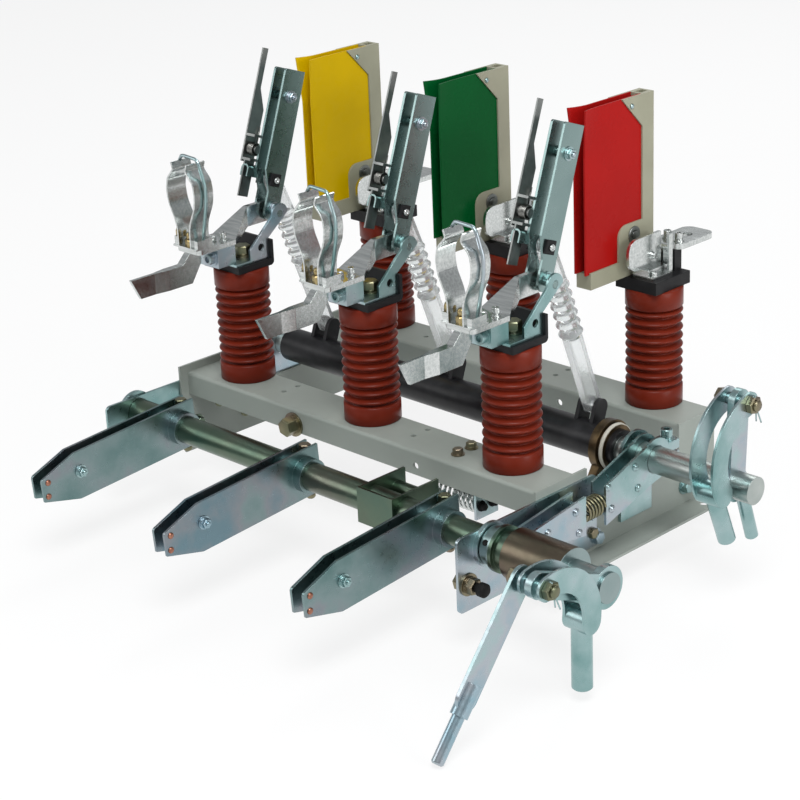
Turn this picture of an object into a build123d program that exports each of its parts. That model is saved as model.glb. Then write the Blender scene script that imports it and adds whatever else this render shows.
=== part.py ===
"""An indoor three-pole switch-disconnector with an earthing switch and arc chutes, in millimetres.

X runs along the three poles, Y from the front row of insulators to the rear row, and Z up.
The origin lies midway between the feet of the two end plates, on the plane they bolt down on.
"""

import os
from math import acos, cos, degrees, radians, sin

from build123d import *

# Frame: two inverted channels between two end plates with outward feet
pole_pitch = 210.0
row_pitch = 236.0
frame_height = 100.0
sheet = 3.0
beam_end = 64.0
beam_width = 63.5
beam_height = 28.0
beam_ahead = 40.5
bend_r = 4.0
beam_hole_r = 3.2
beam_hole_at = 74.0
beam_hole_pitch = 22.0
beam_side_hole_r = 4.0
beam_side_hole_drop = 17.5
foot_width = 30.0
foot_hole_r = 5.5
foot_hole_pitch = 220.0
foot_hole_out = 17.0
left_plate_rise = 9.0
left_plate_ahead = 11.5
notch_behind = 17.0
notch_depth = 44.0
notch_r = 10.0

# Shaft axes, set out from the front row and the beams' top face
main_shaft_behind = 117.0
main_shaft_below = 7.0
earth_shaft_ahead = 115.0
earth_shaft_below = 28.0
running_gap = 0.4
cut_over = 1.0

# Bearing plates
earth_bearing_ahead = 161.0
earth_bearing_behind = 52.0
earth_bearing_drop = 9.0
earth_bearing_height = 82.0
earth_bearing_corner_r = 6.0
earth_bearing_boss_r = 24.0
earth_bearing_boss = 5.0
main_bearing_r = 26.0
main_bearing_drop = 72.0
main_bearing_thick = 4.0

# Insulators
insulator_height = 136.0
collar_r = 32.2
collar_height = 22.0
core_r = 25.5
shed_r = 32.0
shed_count = 9
shed_edge = 2.4

# Front pole hardware: pad, hinge bracket, terminal, fuse clip, earth contact
pad_left = 33.0
pad_right = 28.0
pad_half_depth = 27.0
pad_thick = 8.0
pad_wall = 4.0
pad_wall_height = 22.0
pad_bend_r = 5.0
pad_clear = 1.0
bracket_left = 30.0
bracket_wall_front = 5.0
bracket_hole_r = 4.5
bracket_block_half = 18.0
bracket_block_front = 48.0
bracket_block_back = 22.0
terminal_half = 20.0
terminal_thick = 6.0
terminal_under = 34.0
terminal_front = 77.0
terminal_bend = 22.0
terminal_top_end = 12.0
terminal_corner_r = 6.0
tab_half = 3.0
tab_r = 12.0
clip_r = 22.5
clip_sheet = 2.0
clip_depth = 27.0
clip_centre_ahead = 67.0
clip_up = 66.0
clip_leg_half = 13.0
clip_mouth_angle = 26.0
clip_lip_out = 4.0
clip_lip_up = 10.0
clip_lip_angle = 4.0
clip_wave_angle = 7.0
clip_waves = 3
clip_wave_depth = 2.0
bail_r = 2.0
bail_top = 6.0
bail_room = 5.0
bail_bend_r = 3.0
earth_bar_half = 2.0
earth_bar_front = 161.0
earth_bar_back = 62.0
earth_bar_height = 24.0
earth_bar_drop = 11.0
earth_bar_step = 22.0
earth_bar_chamfer = 12.0
earth_bar_root_half = 5.0
earth_bar_root = 110.0
earth_bar_taper = 18.0

# Main blades, their hinge behind the front row and their open stand
hinge_behind = 44.0
hinge_up = 56.0
hinge_pin_r = 4.0
blade_angle = 70.0
blade_gap_half = 7.0
blade_sheet = 3.0
blade_length = 164.0
blade_front = 21.4
blade_back = 8.6
blade_neck = 11.0
blade_neck_end = 22.0
blade_shoulder = 46.0
blade_spacer_at = 133.0
blade_spacer_r = 6.0
blade_corner_r = 3.0
pull_throw = 36.0
pull_pin_r = 4.5

# Arcing blades, beside the far bars
arc_blade_off = 25.0
arc_blade_thick = 2.0
arc_tip = 182.0
arc_heel = 50.0
arc_kink = 136.0
arc_front = 31.0
arc_tip_width = 8.0
arc_wide = 19.0
arc_taper = 112.0
arc_web_from = 52.0
arc_web_to = 80.0
arc_web_sheet = 3.0
arc_lug_from = 10.0
arc_lug_in = 5.0
arc_lug_narrow = 4.0
arc_stud_at = 66.0
arc_stud_r = 5.0

# Pull rods and the levers that drive them
lever_half = 8.0
lever_sheet = 5.0
lever_eye_r = 10.0
rod_eye_r = 9.0
rod_eye_half = 5.0
rod_foot_half = 6.0
rod_neck = 45.0
rod_neck_half = 12.0
rod_foot = 94.0
rod_foot_top = 9.5
rod_core_r = 9.5
rod_rib_r = 13.5
rod_rib_count = 6

# Main shaft
main_tube_r = 20.4
main_tube_short = 12.0
main_stub_r = 15.0
main_stub_left_out = 9.0
main_stub_right_out = 159.0
main_cam_r = 29.0
main_cam_width = 10.0
main_cam_in = 14.0
main_cam_angle = -123.0
main_ring_r = 24.0
main_ring_width = 4.0
main_ring_gap = 3.0

# Rear pole hardware: base, contact, terminal, arc chute
base_left = 30.0
base_right = 26.0
base_half_depth = 30.0
base_thick = 14.0
base_block_half = 14.0
base_block_depth = 12.0
contact_foot_half = 11.0
contact_foot_front = 24.0
contact_foot_back = 9.0
contact_foot_thick = 10.0
contact_half = 2.0
contact_front = 46.0
contact_top = 60.0
contact_round_r = 14.0
contact_guard_in = 15.0
contact_guard_sheet = 3.0
contact_guard_height = 46.0
contact_guard_front = 6.0
rear_terminal_half = 20.0
rear_terminal_thick = 6.0
rear_terminal_up = 38.0
rear_terminal_reach = 84.0
rear_terminal_hole = 57.0
rear_terminal_hole_r = 6.5
rear_terminal_heel = 5.0
rear_terminal_bend_r = 4.0
rear_terminal_corner_r = 11.0
rear_terminal_neck = 19.0
chute_off = 25.0
chute_gap_half = 6.0
flap_thick = 2.0
flap_front_ahead = 96.0
flap_bottom = 31.0
flap_top = 212.0
flap_flare_out = 8.0
flap_flare_in = 2.0
flap_flare_depth = 26.0
holder_sheet = 2.0
holder_spine_front = 2.0
holder_spine_back = 17.0
holder_bottom = 14.0
holder_arm = 19.0
holder_arm_ahead = 90.0
holder_gusset_ahead = 36.0
holder_gusset_drop = 35.0
holder_lobe_ahead = 29.0
holder_lobe_up = 59.0
holder_lobe_r = 14.0
holder_pocket_depth = 26.0
holder_pocket_wall = 3.5

# Earthing shaft, its blades and sleeve
earth_tube_r = 15.8
earth_tube_left_out = 9.0
earth_tube_right_out = 159.0
earth_sleeve_r = 27.0
earth_sleeve_from_out = 41.0
earth_sleeve_to_out = 113.0
earth_collar_gap = 1.0
earth_collar_r = 21.0
earth_collar_width = 12.0
earth_ring_r = 25.0
earth_ring_width = 6.0
earth_blade_gap_half = 7.0
earth_blade_sheet = 3.0
earth_blade_tilt = 4.0
earth_blade_reach = 197.0
earth_blade_tail = 22.0
earth_blade_half = 28.0
earth_blade_tip_half = 13.0
earth_blade_shoulder = 150.0
earth_hub_r = 19.5
earth_hub_width = 12.0
earth_bolt_r = 4.0
earth_bolt_back = 12.0
earth_bolt_up = 23.0
earth_tip_r = 4.0
spring_lever_in = 73.0
spring_lever_half = 26.0
spring_lever_reach = 50.0
spring_lever_height = 40.0
spring_bush_r = 9.0
spring_bush_in = 13.0

# Cranks and links outside the right end plate
rear_crank_r = 91.0
rear_crank_angle = 87.0
front_crank_r = 104.0
front_crank_angle = 158.4
crank_sheet = 8.0
rear_crank_hub_r = 18.0
front_crank_hub_r = 22.0
crank_eye_r = 13.0
crank_pin_r = 6.0
rear_link_near_out = 144.0
rear_link_far_out = 117.0
front_link_near_out = 163.0
front_link_far_out = 139.0
link_sheet = 3.0
link_width = 25.0
rear_link_r = 59.0
rear_link_from_angle = 100.0
rear_link_bow_angle = 111.0
rear_rod_angle = -68.0
rear_rod_r = 9.5
rear_rod_length = 66.0
rear_stub_r = 7.0
rear_stub_length = 58.0
rear_stub_angle = -71.0
rear_stub_in = 10.0
rod_chamfer = 1.5
front_link_r = 51.5
front_link_from_angle = 103.0
front_link_bow_angle = 113.0
front_rod_angle = -90.0
front_rod_r = 10.5
front_rod_length = 74.0
flat_link_out = 131.0
flat_link_sheet = 4.0
flat_link_half = 14.0
flat_link_length = 120.0
flat_link_angle = 230.0
flat_link_stud_r = 6.0
flat_link_stud = 66.0
flat_link_sleeve_r = 9.0
flat_link_sleeve = 32.0
pin_overhang = 8.0

# Interlock yokes and spring between the shafts
yoke_near_out = 28.0
yoke_far_out = 10.0
yoke_height = 44.0
rear_yoke_front = 34.0
rear_yoke_strap_r = 24.0
rear_yoke_ear = 18.0
rear_yoke_ear_height = 24.0
rear_yoke_split = 3.0
front_yoke_front = 82.0
front_yoke_back = 2.0
yoke_mid_below = 32.0
yoke_web = 4.0
yoke_stay_r = 5.0
rear_stay_ahead = 12.0
rear_stay_below = 22.0
interlock_spring_r = 12.0
interlock_wire_r = 1.6
interlock_turns = 6

# Return spring hanger under the front beam
hanger_in = 20.0
hanger_width = 34.0
hanger_drop = 30.0
return_spring_r = 14.0
return_wire_r = 1.8
return_turns = 8
return_spring_length = 58.0

# Places worked out from the sizes above
front_row_y = beam_ahead - (row_pitch + beam_width) / 2
rear_row_y = front_row_y + row_pitch
frame_front_y = front_row_y - beam_ahead
frame_back_y = rear_row_y - beam_ahead + beam_width
inner_x = pole_pitch + beam_end
main_tube_half = inner_x - main_tube_short
outer_x = inner_x + sheet
main_stub_left = outer_x + main_stub_left_out
main_stub_right = outer_x + main_stub_right_out
earth_tube_left = outer_x + earth_tube_left_out
earth_tube_right = outer_x + earth_tube_right_out
earth_sleeve_from = outer_x + earth_sleeve_from_out
earth_sleeve_to = outer_x + earth_sleeve_to_out
rear_link_near = outer_x + rear_link_near_out
rear_link_far = outer_x + rear_link_far_out
front_link_near = outer_x + front_link_near_out
front_link_far = outer_x + front_link_far_out
flat_link_x = outer_x + flat_link_out
yoke_near = outer_x + yoke_near_out
yoke_far = outer_x + yoke_far_out
spring_lever_x = pole_pitch - spring_lever_in
hanger_x = pole_pitch - hanger_in
beam_top_z = frame_height
top_z = beam_top_z + insulator_height
pole_xs = (-pole_pitch, 0, pole_pitch)
main_y = front_row_y + main_shaft_behind
main_z = beam_top_z - main_shaft_below
earth_y = front_row_y - earth_shaft_ahead
earth_z = beam_top_z - earth_shaft_below
hinge_y = front_row_y + hinge_behind
hinge_z = top_z + hinge_up


def slab(x0, x1, y0, y1, z0, z1):
    """A block between two corners."""
    middle = Pos((x0 + x1) / 2, (y0 + y1) / 2, (z0 + z1) / 2)
    return middle * Box(x1 - x0, y1 - y0, z1 - z0)


def upright(points, x0, x1):
    """A plate that stands across X, from its outline in Y and Z."""
    face = Plane.YZ * make_face(Polyline(*points, close=True))
    return Pos(x0, 0, 0) * extrude(face, amount=x1 - x0)


def round_x(y, z, r, x0, x1):
    """A round bar along X."""
    return Pos((x0 + x1) / 2, y, z) * Rot(0, 90, 0) * Cylinder(r, x1 - x0)


def bar(start, end, r):
    """A round bar between two points."""
    way = Vector(*end) - Vector(*start)
    return extrude(Plane(origin=start, z_dir=way) * Circle(r), amount=way.length)


def turn(y, z, r, angle):
    """The point at a radius and angle from a centre in the YZ plane."""
    return y + r * cos(radians(angle)), z + r * sin(radians(angle))


def strip(start, end, half, x0, x1):
    """A flat link across X with round ends, from one centre to the other."""
    along = Vector(end[0] - start[0], end[1] - start[1])
    side = Vector(-along.Y, along.X).normalized() * half
    outline = [
        (start[0] + side.X, start[1] + side.Y),
        (end[0] + side.X, end[1] + side.Y),
        (end[0] - side.X, end[1] - side.Y),
        (start[0] - side.X, start[1] - side.Y),
    ]
    return upright(outline, x0, x1) + round_x(*start, half, x0, x1) + round_x(*end, half, x0, x1)


def bow(y, z, r, width, a0, a1, x0, x1):
    """A curved plate across X: a stretch of ring with round ends."""
    inner = r - width / 2
    outer = r + width / 2
    middle = (a0 + a1) / 2
    edge = [
        Line(turn(y, z, inner, a0), turn(y, z, outer, a0)),
        ThreePointArc(turn(y, z, outer, a0), turn(y, z, outer, middle), turn(y, z, outer, a1)),
        Line(turn(y, z, outer, a1), turn(y, z, inner, a1)),
        ThreePointArc(turn(y, z, inner, a1), turn(y, z, inner, middle), turn(y, z, inner, a0)),
    ]
    plate = Pos(x0, 0, 0) * extrude(Plane.YZ * make_face(edge), amount=x1 - x0)
    for angle in (a0, a1):
        plate += round_x(*turn(y, z, r, angle), width / 2, x0, x1)
    return plate


def rod_end_bar(start, end, r):
    """A round bar between two points, chamfered at its far end."""
    piece = bar(start, end, r)
    tip = piece.faces().sort_by_distance(end)[0]
    return chamfer(tip.edges(), rod_chamfer)


def coil(r, wire, length, turns):
    """A coil spring along +Z from the origin, its wire ends inside the given length."""
    run = length - wire - wire
    line = Pos(0, 0, wire) * Helix(pitch=run / turns, height=run, radius=r - wire)
    return sweep(Plane(origin=line @ 0, z_dir=line % 0) * Circle(wire), path=line, is_frenet=True)


def at_poles(piece):
    """One copy of a piece at each pole."""
    return Part() + [Pos(x, 0, 0) * piece for x in pole_xs]


pieces = {}

# Beams: sheet bent to a channel that opens downwards
for name, row in (("front_beam", front_row_y), ("rear_beam", rear_row_y)):
    y0 = row - beam_ahead
    y1 = y0 + beam_width
    beam = slab(-inner_x, inner_x, y0, y1, beam_top_z - beam_height, beam_top_z)
    beam = fillet(beam.edges().filter_by(Axis.X).group_by(Axis.Z)[-1], bend_r)
    beam -= slab(
        -inner_x, inner_x, y0 + sheet, y1 - sheet, beam_top_z - beam_height, beam_top_z - sheet
    )
    for bay_x in (-pole_pitch + beam_hole_at, beam_hole_at):
        for way in (-1, 1):
            hole_at = Pos(bay_x, row + way * beam_hole_pitch / 2, beam_top_z)
            beam -= hole_at * Cylinder(beam_hole_r, sheet + sheet + cut_over)
    side_hole = Pos(pole_pitch / 2, y0, beam_top_z - beam_side_hole_drop) * Rot(90, 0, 0)
    beam -= side_hole * Cylinder(beam_side_hole_r, sheet + sheet + cut_over)
    pieces[name] = beam

# End plates: an upright web with a notch for the main shaft and an outward foot
for name, side, rise, ahead in (
    ("left_end_plate", -1, left_plate_rise, left_plate_ahead),
    ("right_end_plate", 1, 0, 0),
):
    web = slab(
        inner_x, outer_x, frame_front_y - ahead, frame_back_y, 0, beam_top_z + rise
    )
    notch = slab(
        inner_x - cut_over,
        outer_x + cut_over,
        front_row_y - beam_ahead + beam_width + notch_behind,
        rear_row_y - beam_ahead,
        beam_top_z - notch_depth,
        beam_top_z + rise + cut_over,
    )
    web -= fillet(notch.edges().filter_by(Axis.X).group_by(Axis.Z)[0], notch_r)
    foot = slab(outer_x, outer_x + foot_width, frame_front_y, frame_back_y, 0, sheet)
    for way in (-1, 1):
        hole_at = Pos(outer_x + foot_hole_out, way * foot_hole_pitch / 2, sheet / 2)
        foot -= hole_at * Cylinder(foot_hole_r, sheet + cut_over)
    plate = web + foot
    pieces[name] = plate if side > 0 else mirror(plate, about=Plane.YZ)

# Earthing bearing plates on the outer faces of the end plates, drawn out round the shaft
for name, side in (("left_earthing_bearing_plate", -1), ("right_earthing_bearing_plate", 1)):
    top = beam_top_z - earth_bearing_drop
    plate = slab(
        outer_x,
        outer_x + sheet,
        front_row_y - earth_bearing_ahead,
        front_row_y + earth_bearing_behind,
        top - earth_bearing_height,
        top,
    )
    plate = fillet(plate.edges().filter_by(Axis.X), earth_bearing_corner_r)
    boss_x = outer_x + sheet
    plate += round_x(earth_y, earth_z, earth_bearing_boss_r, boss_x, boss_x + earth_bearing_boss)
    plate -= round_x(
        earth_y,
        earth_z,
        earth_tube_r + running_gap,
        outer_x - cut_over,
        boss_x + earth_bearing_boss + cut_over,
    )
    pieces[name] = plate if side > 0 else mirror(plate, about=Plane.YZ)

# Main shaft bearings: round-headed plates bolted over the notches
bearing_x = outer_x + main_bearing_thick
bearing = slab(
    outer_x, bearing_x, main_y - main_bearing_r, main_y + main_bearing_r, main_z - main_bearing_drop, main_z
)
bearing += round_x(main_y, main_z, main_bearing_r, outer_x, bearing_x)
bearing -= round_x(
    main_y, main_z, main_stub_r + running_gap, outer_x - cut_over, bearing_x + cut_over
)
pieces["left_main_bearing"] = mirror(bearing, about=Plane.YZ)
pieces["right_main_bearing"] = bearing

# Insulators: a ribbed post between two plain collars
shed_pitch = (insulator_height - collar_height - collar_height) / shed_count
profile = [(0, 0), (collar_r, 0), (collar_r, collar_height)]
for n in range(shed_count):
    low = collar_height + shed_pitch * n
    profile.append((core_r, low))
    profile.append((shed_r, low + (shed_pitch - shed_edge) / 2))
    profile.append((shed_r, low + (shed_pitch + shed_edge) / 2))
profile += [
    (core_r, insulator_height - collar_height),
    (collar_r, insulator_height - collar_height),
    (collar_r, insulator_height),
    (0, insulator_height),
]
post = revolve(Plane.XZ * make_face(Polyline(*profile, close=True)), axis=Axis.Z)
pieces["front_insulators"] = at_poles(Pos(0, front_row_y, beam_top_z) * post)
pieces["rear_insulators"] = at_poles(Pos(0, rear_row_y, beam_top_z) * post)

# Front pads: moulded, with the back turned up
pad_z = top_z + pad_thick
pad_front = front_row_y - pad_half_depth
pad_back = front_row_y + pad_half_depth
bracket_back = pad_back - pad_wall
pad = slab(-pad_left, pad_right, pad_front, pad_back, top_z, pad_z)
pad += slab(-pad_left, pad_right, bracket_back, pad_back, pad_z, pad_z + pad_wall_height)
bend = pad.edges().filter_by(Axis.X).group_by(Axis.Y)[-1].sort_by(Axis.Z)[0]
pieces["front_pads"] = at_poles(fillet(bend, pad_bend_r))

# Hinge brackets: an angle on the pad whose wall takes the hinge pin, and the terminal's channel
wall_x = pad_right - pad_wall
base_z = pad_z + sheet
terminal_z = top_z + terminal_under
bracket = slab(-bracket_left, wall_x, pad_front, bracket_back, pad_z, base_z)
wall_front = front_row_y - bracket_wall_front
wall_top = ((hinge_y + tab_r, hinge_z), (hinge_y, hinge_z + tab_r), (hinge_y - tab_r, hinge_z))
wall_edge = [
    Polyline(
        wall_top[2],
        (wall_front, base_z + tab_r),
        (wall_front, pad_z),
        (bracket_back, pad_z),
        (bracket_back, pad_z + pad_wall_height + pad_clear),
        wall_top[0],
    ),
    ThreePointArc(*wall_top),
]
bracket += Pos(wall_x - sheet, 0, 0) * extrude(Plane.YZ * make_face(wall_edge), amount=sheet)
bracket -= round_x(
    front_row_y + tab_r, base_z + tab_r, bracket_hole_r, wall_x - sheet - cut_over, wall_x + cut_over
)
block_front = front_row_y - bracket_block_front
block_back = front_row_y - bracket_block_back
seat = slab(-bracket_block_half, bracket_block_half, block_front, block_back, base_z, terminal_z)
seat -= slab(
    sheet - bracket_block_half,
    bracket_block_half - sheet,
    block_front + sheet,
    block_back + cut_over,
    base_z,
    terminal_z,
)
seat += slab(-bracket_block_half, bracket_block_half, block_front, block_back, base_z, base_z + sheet)
bracket += seat
pin_hole = round_x(hinge_y, hinge_z, hinge_pin_r + running_gap, -pole_pitch / 2, pole_pitch / 2)
bracket -= pin_hole
pieces["hinge_brackets"] = at_poles(bracket)

# Front terminals: a flat bar that runs forward and is forged into an upright tab at the hinge
bar_top = terminal_z + terminal_thick
bar_front = front_row_y - terminal_front
bar_end = front_row_y - terminal_bend
tab_front = front_row_y + terminal_top_end
terminal = slab(-terminal_half, terminal_half, bar_front, bar_end, terminal_z, bar_top)
front_corners = terminal.edges().filter_by(Axis.Z).group_by(Axis.Y)[0]
terminal = fillet(front_corners, terminal_corner_r)
flat_end = Plane(origin=(0, bar_end, (terminal_z + bar_top) / 2), x_dir=(1, 0, 0), z_dir=(0, 1, 0))
tab_end = Plane(origin=(0, tab_front, hinge_z), x_dir=(1, 0, 0), z_dir=(0, 1, 0))
terminal += loft(
    [
        flat_end * Rectangle(terminal_half + terminal_half, terminal_thick),
        tab_end * Rectangle(tab_half + tab_half, tab_r + tab_r),
    ]
)
terminal += slab(-tab_half, tab_half, tab_front, hinge_y, hinge_z - tab_r, hinge_z + tab_r)
terminal += round_x(hinge_y, hinge_z, tab_r, -tab_half, tab_half)
terminal -= pin_hole
pieces["front_terminals"] = at_poles(terminal)

# Fuse clips: two sprung fingers on one foot, with a wire bail from the right foot to the left lip
clip_y = front_row_y - clip_centre_ahead
clip_z = bar_top + clip_up
foot_z = bar_top - clip_z
clip_out = clip_r + clip_sheet
leg_out = clip_leg_half + clip_sheet
lip_in = turn(0, 0, clip_r, 90 - clip_mouth_angle)
lip_end = (lip_in[0] + clip_lip_out, lip_in[1] + clip_lip_up)
lip_back = (lip_end[0] + clip_sheet, lip_end[1])
lip_out = turn(0, 0, clip_out, 90 - clip_mouth_angle - clip_lip_angle)
inner_low = (clip_leg_half, -((clip_r**2 - clip_leg_half**2) ** (1 / 2)))
outer_low = (leg_out, -((clip_out**2 - leg_out**2) ** (1 / 2)))
low_angle = -degrees(acos(clip_leg_half / clip_r))
wave_run = (90 - clip_mouth_angle - low_angle) / clip_waves


def wavy(r, start, end):
    """The edge of a finger at a radius, bulging out between its waves."""
    edges = []
    here = start
    for n in range(1, clip_waves + 1):
        middle = low_angle + wave_run * (n - 1 / 2)
        last = low_angle + wave_run * n
        before = turn(0, 0, r, last - clip_wave_angle) if n < clip_waves else end
        edges.append(ThreePointArc(here, turn(0, 0, r, middle), before))
        if n < clip_waves:
            crest = turn(0, 0, r + clip_wave_depth, last)
            here = turn(0, 0, r, last + clip_wave_angle)
            edges.append(ThreePointArc(before, crest, here))
    return edges


finger_edge = [
    *wavy(clip_r, inner_low, lip_in),
    Polyline(lip_in, lip_end, lip_back, lip_out),
    *wavy(clip_out, outer_low, lip_out),
    Polyline(
        outer_low,
        (leg_out, foot_z + clip_sheet),
        (terminal_half, foot_z + clip_sheet),
        (terminal_half, foot_z),
        (0, foot_z),
        (0, foot_z + clip_sheet),
        (clip_leg_half, foot_z + clip_sheet),
        inner_low,
    ),
]
finger = extrude(Plane.XZ * make_face(finger_edge), amount=clip_depth / 2, both=True)
bail_z = lip_end[1] + bail_top
bail_path = [
    ((leg_out + terminal_half) / 2, 0, foot_z + clip_sheet / 2),
    (clip_out + bail_room, 0, -bail_room),
    (clip_out + bail_room, 0, clip_out / 2),
    (lip_back[0] + bail_r, 0, bail_z),
    (-lip_in[0], 0, bail_z),
    (-lip_end[0] - clip_sheet / 2, 0, lip_end[1] - bail_r),
]
bail_line = FilletPolyline(*bail_path, radius=bail_bend_r)
clip = finger + mirror(finger, about=Plane.YZ)
clip += sweep(Plane(origin=bail_line @ 0, z_dir=bail_line % 0) * Circle(bail_r), path=bail_line)
clip = Pos(0, clip_y, clip_z) * clip
for name, x in zip(("left_fuse_clip", "middle_fuse_clip", "right_fuse_clip"), pole_xs):
    pieces[name] = Pos(x, 0, 0) * clip

# Earth contacts: an upright bar under the terminal that the earthing blade straddles
bar_z = terminal_z - earth_bar_drop
step_front = front_row_y - terminal_front - earth_bar_chamfer
earth_tip = front_row_y - earth_bar_front
contact_outline = [
    (earth_tip, bar_z),
    (step_front, bar_z),
    (step_front + earth_bar_drop, terminal_z),
    (front_row_y - earth_bar_back, terminal_z),
    (front_row_y - earth_bar_back, bar_z - earth_bar_height + earth_bar_step),
    (step_front + earth_bar_chamfer, bar_z - earth_bar_height),
    (earth_tip + earth_bar_chamfer, bar_z - earth_bar_height),
]
contact = upright(contact_outline, -earth_bar_root_half, earth_bar_root_half)
root_front = front_row_y - earth_bar_root
taper_front = root_front - earth_bar_taper
contact_plan = [
    (earth_bar_half, earth_tip),
    (earth_bar_half, taper_front),
    (earth_bar_root_half, root_front),
    (earth_bar_root_half, front_row_y),
    (-earth_bar_root_half, front_row_y),
    (-earth_bar_root_half, root_front),
    (-earth_bar_half, taper_front),
    (-earth_bar_half, earth_tip),
]
contact &= extrude(make_face(Polyline(*contact_plan, close=True)), amount=terminal_z)
pieces["earth_contacts"] = at_poles(contact)


def blade_point(u, v):
    """A point of an open main blade: u along it from the hinge, v across it to the rear."""
    a = radians(blade_angle)
    return hinge_y + u * cos(a) + v * sin(a), hinge_z + u * sin(a) - v * cos(a)


# Main blades: two bars on a hinge pin, held apart near the tip
blade_outline = [
    blade_point(0, -blade_neck),
    blade_point(blade_neck_end, -blade_neck),
    blade_point(blade_shoulder, -blade_front),
    blade_point(blade_length, -blade_front),
    blade_point(blade_length, blade_back),
    blade_point(0, blade_neck),
]
blade_out = blade_gap_half + blade_sheet
near_bar = upright(blade_outline, blade_gap_half, blade_out)
near_bar = fillet(near_bar.edges().filter_by(Axis.X).group_by(Axis.Z)[-1], blade_corner_r)
near_bar += round_x(hinge_y, hinge_z, blade_neck, blade_gap_half, blade_out)
blade = near_bar + mirror(near_bar, about=Plane.YZ)
blade += round_x(hinge_y, hinge_z, hinge_pin_r, -blade_out, pad_right - pad_wall)
blade += round_x(
    *blade_point(blade_spacer_at, 0), blade_spacer_r, -blade_gap_half, blade_gap_half
)
blade += round_x(*blade_point(pull_throw, 0), pull_pin_r, -blade_out, blade_out)
for name, x in zip(("left_main_blade", "middle_main_blade", "right_main_blade"), pole_xs):
    pieces[name] = Pos(x, 0, 0) * blade

# Arcing blades: a thin blade on two studs beside the far bar
arc_x = -arc_blade_off
arc_outline = [
    blade_point(arc_heel, -arc_front),
    blade_point(arc_tip, -arc_front),
    blade_point(arc_tip, arc_tip_width - arc_front),
    blade_point(arc_kink, arc_tip_width - arc_front),
    blade_point(arc_taper, arc_wide - arc_front),
    blade_point(arc_heel, arc_wide - arc_front),
]
arc = upright(arc_outline, arc_x - arc_blade_thick / 2, arc_x + arc_blade_thick / 2)
for u in (arc_web_from, arc_web_to):
    web = [
        blade_point(u, -arc_front),
        blade_point(u + arc_web_sheet, -arc_front),
        blade_point(u + arc_web_sheet, arc_wide - arc_front),
        blade_point(u, arc_wide - arc_front),
    ]
    arc += upright(web, arc_x, -blade_out)
arc += round_x(*blade_point(arc_stud_at, arc_wide / 2 - arc_front), arc_stud_r, arc_x, -blade_out)
lug = [
    blade_point(arc_lug_from, -arc_front),
    blade_point(arc_web_from + arc_web_sheet, -arc_front),
    blade_point(arc_web_from + arc_web_sheet, arc_wide - arc_front - arc_lug_narrow),
    blade_point(arc_lug_from, arc_wide - arc_front - arc_lug_narrow),
]
arc += upright(lug, arc_x + arc_lug_in, arc_x + arc_lug_in + arc_blade_thick)
for name, x in zip(("left_arcing_blade", "middle_arcing_blade", "right_arcing_blade"), pole_xs):
    pieces[name] = Pos(x, 0, 0) * arc

# Pull rods: a ribbed insulating rod with a flat eye at each end
pivot = blade_point(pull_throw, 0)
lever_pin = turn(main_y, main_z, pull_throw, blade_angle)
rod_way = Vector(lever_pin[0] - pivot[0], lever_pin[1] - pivot[1])
rod_length = rod_way.length
rod_profile = [(0, 0), (rod_core_r, 0)]
rib_run = rod_length - rod_neck - rod_foot
rib_pitch = rib_run / rod_rib_count
for n in range(rod_rib_count):
    rod_profile.append((rod_rib_r, rib_pitch * (n + 1 / 2)))
    rod_profile.append((rod_core_r, rib_pitch * (n + 1)))
rod_profile.append((0, rib_run))
ribs = revolve(Plane.XZ * make_face(Polyline(*rod_profile, close=True)), axis=Axis.Z)
unit = rod_way / rod_length
rib_start = (0, pivot[0] + unit.X * rod_neck, pivot[1] + unit.Y * rod_neck)
rod = Plane(origin=rib_start, z_dir=(0, unit.X, unit.Y)) * ribs
across = Vector(-unit.Y, unit.X)


def rod_point(along, side):
    """A point of a pull rod in Y and Z: along it from the blade's pivot, and across it."""
    at = unit * along + across * side
    return pivot[0] + at.X, pivot[1] + at.Y


paddle = [
    rod_point(0, rod_eye_r),
    rod_point(rod_neck + rib_pitch, rod_neck_half),
    rod_point(rod_neck + rib_pitch, -rod_neck_half),
    rod_point(0, -rod_eye_r),
]
rod += upright(paddle, -rod_eye_half, rod_eye_half)
rod += round_x(*pivot, rod_eye_r, -rod_eye_half, rod_eye_half)
shank = [
    rod_point(rod_length - rod_foot - rib_pitch, rod_foot_top),
    rod_point(rod_length, rod_eye_r),
    rod_point(rod_length, -rod_eye_r),
    rod_point(rod_length - rod_foot - rib_pitch, -rod_foot_top),
]
rod += upright(shank, -rod_foot_half, rod_foot_half)
rod += round_x(*lever_pin, rod_eye_r, -rod_foot_half, rod_foot_half)
rod -= round_x(*pivot, pull_pin_r + running_gap, -blade_out, blade_out)
rod -= round_x(*lever_pin, pull_pin_r + running_gap + running_gap, -pole_pitch / 2, pole_pitch / 2)
for name, x in zip(("left_pull_rod", "middle_pull_rod", "right_pull_rod"), pole_xs):
    pieces[name] = Pos(x, 0, 0) * rod

# Main shaft: a tube between the bearings on a stub shaft that runs out to the right
shaft = round_x(main_y, main_z, main_tube_r, -main_tube_half, main_tube_half)
shaft += round_x(main_y, main_z, main_stub_r, -main_stub_left, main_stub_right)
pieces["main_shaft"] = shaft
cam_x = main_tube_half - main_cam_in
cam = round_x(main_y, main_z, main_cam_r, cam_x - main_cam_width, cam_x)
cam += strip(
    (main_y, main_z),
    turn(main_y, main_z, main_cam_r + main_cam_in, main_cam_angle),
    main_cam_width,
    cam_x - main_cam_width,
    cam_x,
)
ring_x = cam_x + main_ring_gap
cam += round_x(main_y, main_z, main_ring_r, cam_x, ring_x)
cam += round_x(main_y, main_z, main_cam_r - main_ring_width, ring_x, ring_x + main_ring_width)
pieces["main_shaft_cam"] = cam - shaft

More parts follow.
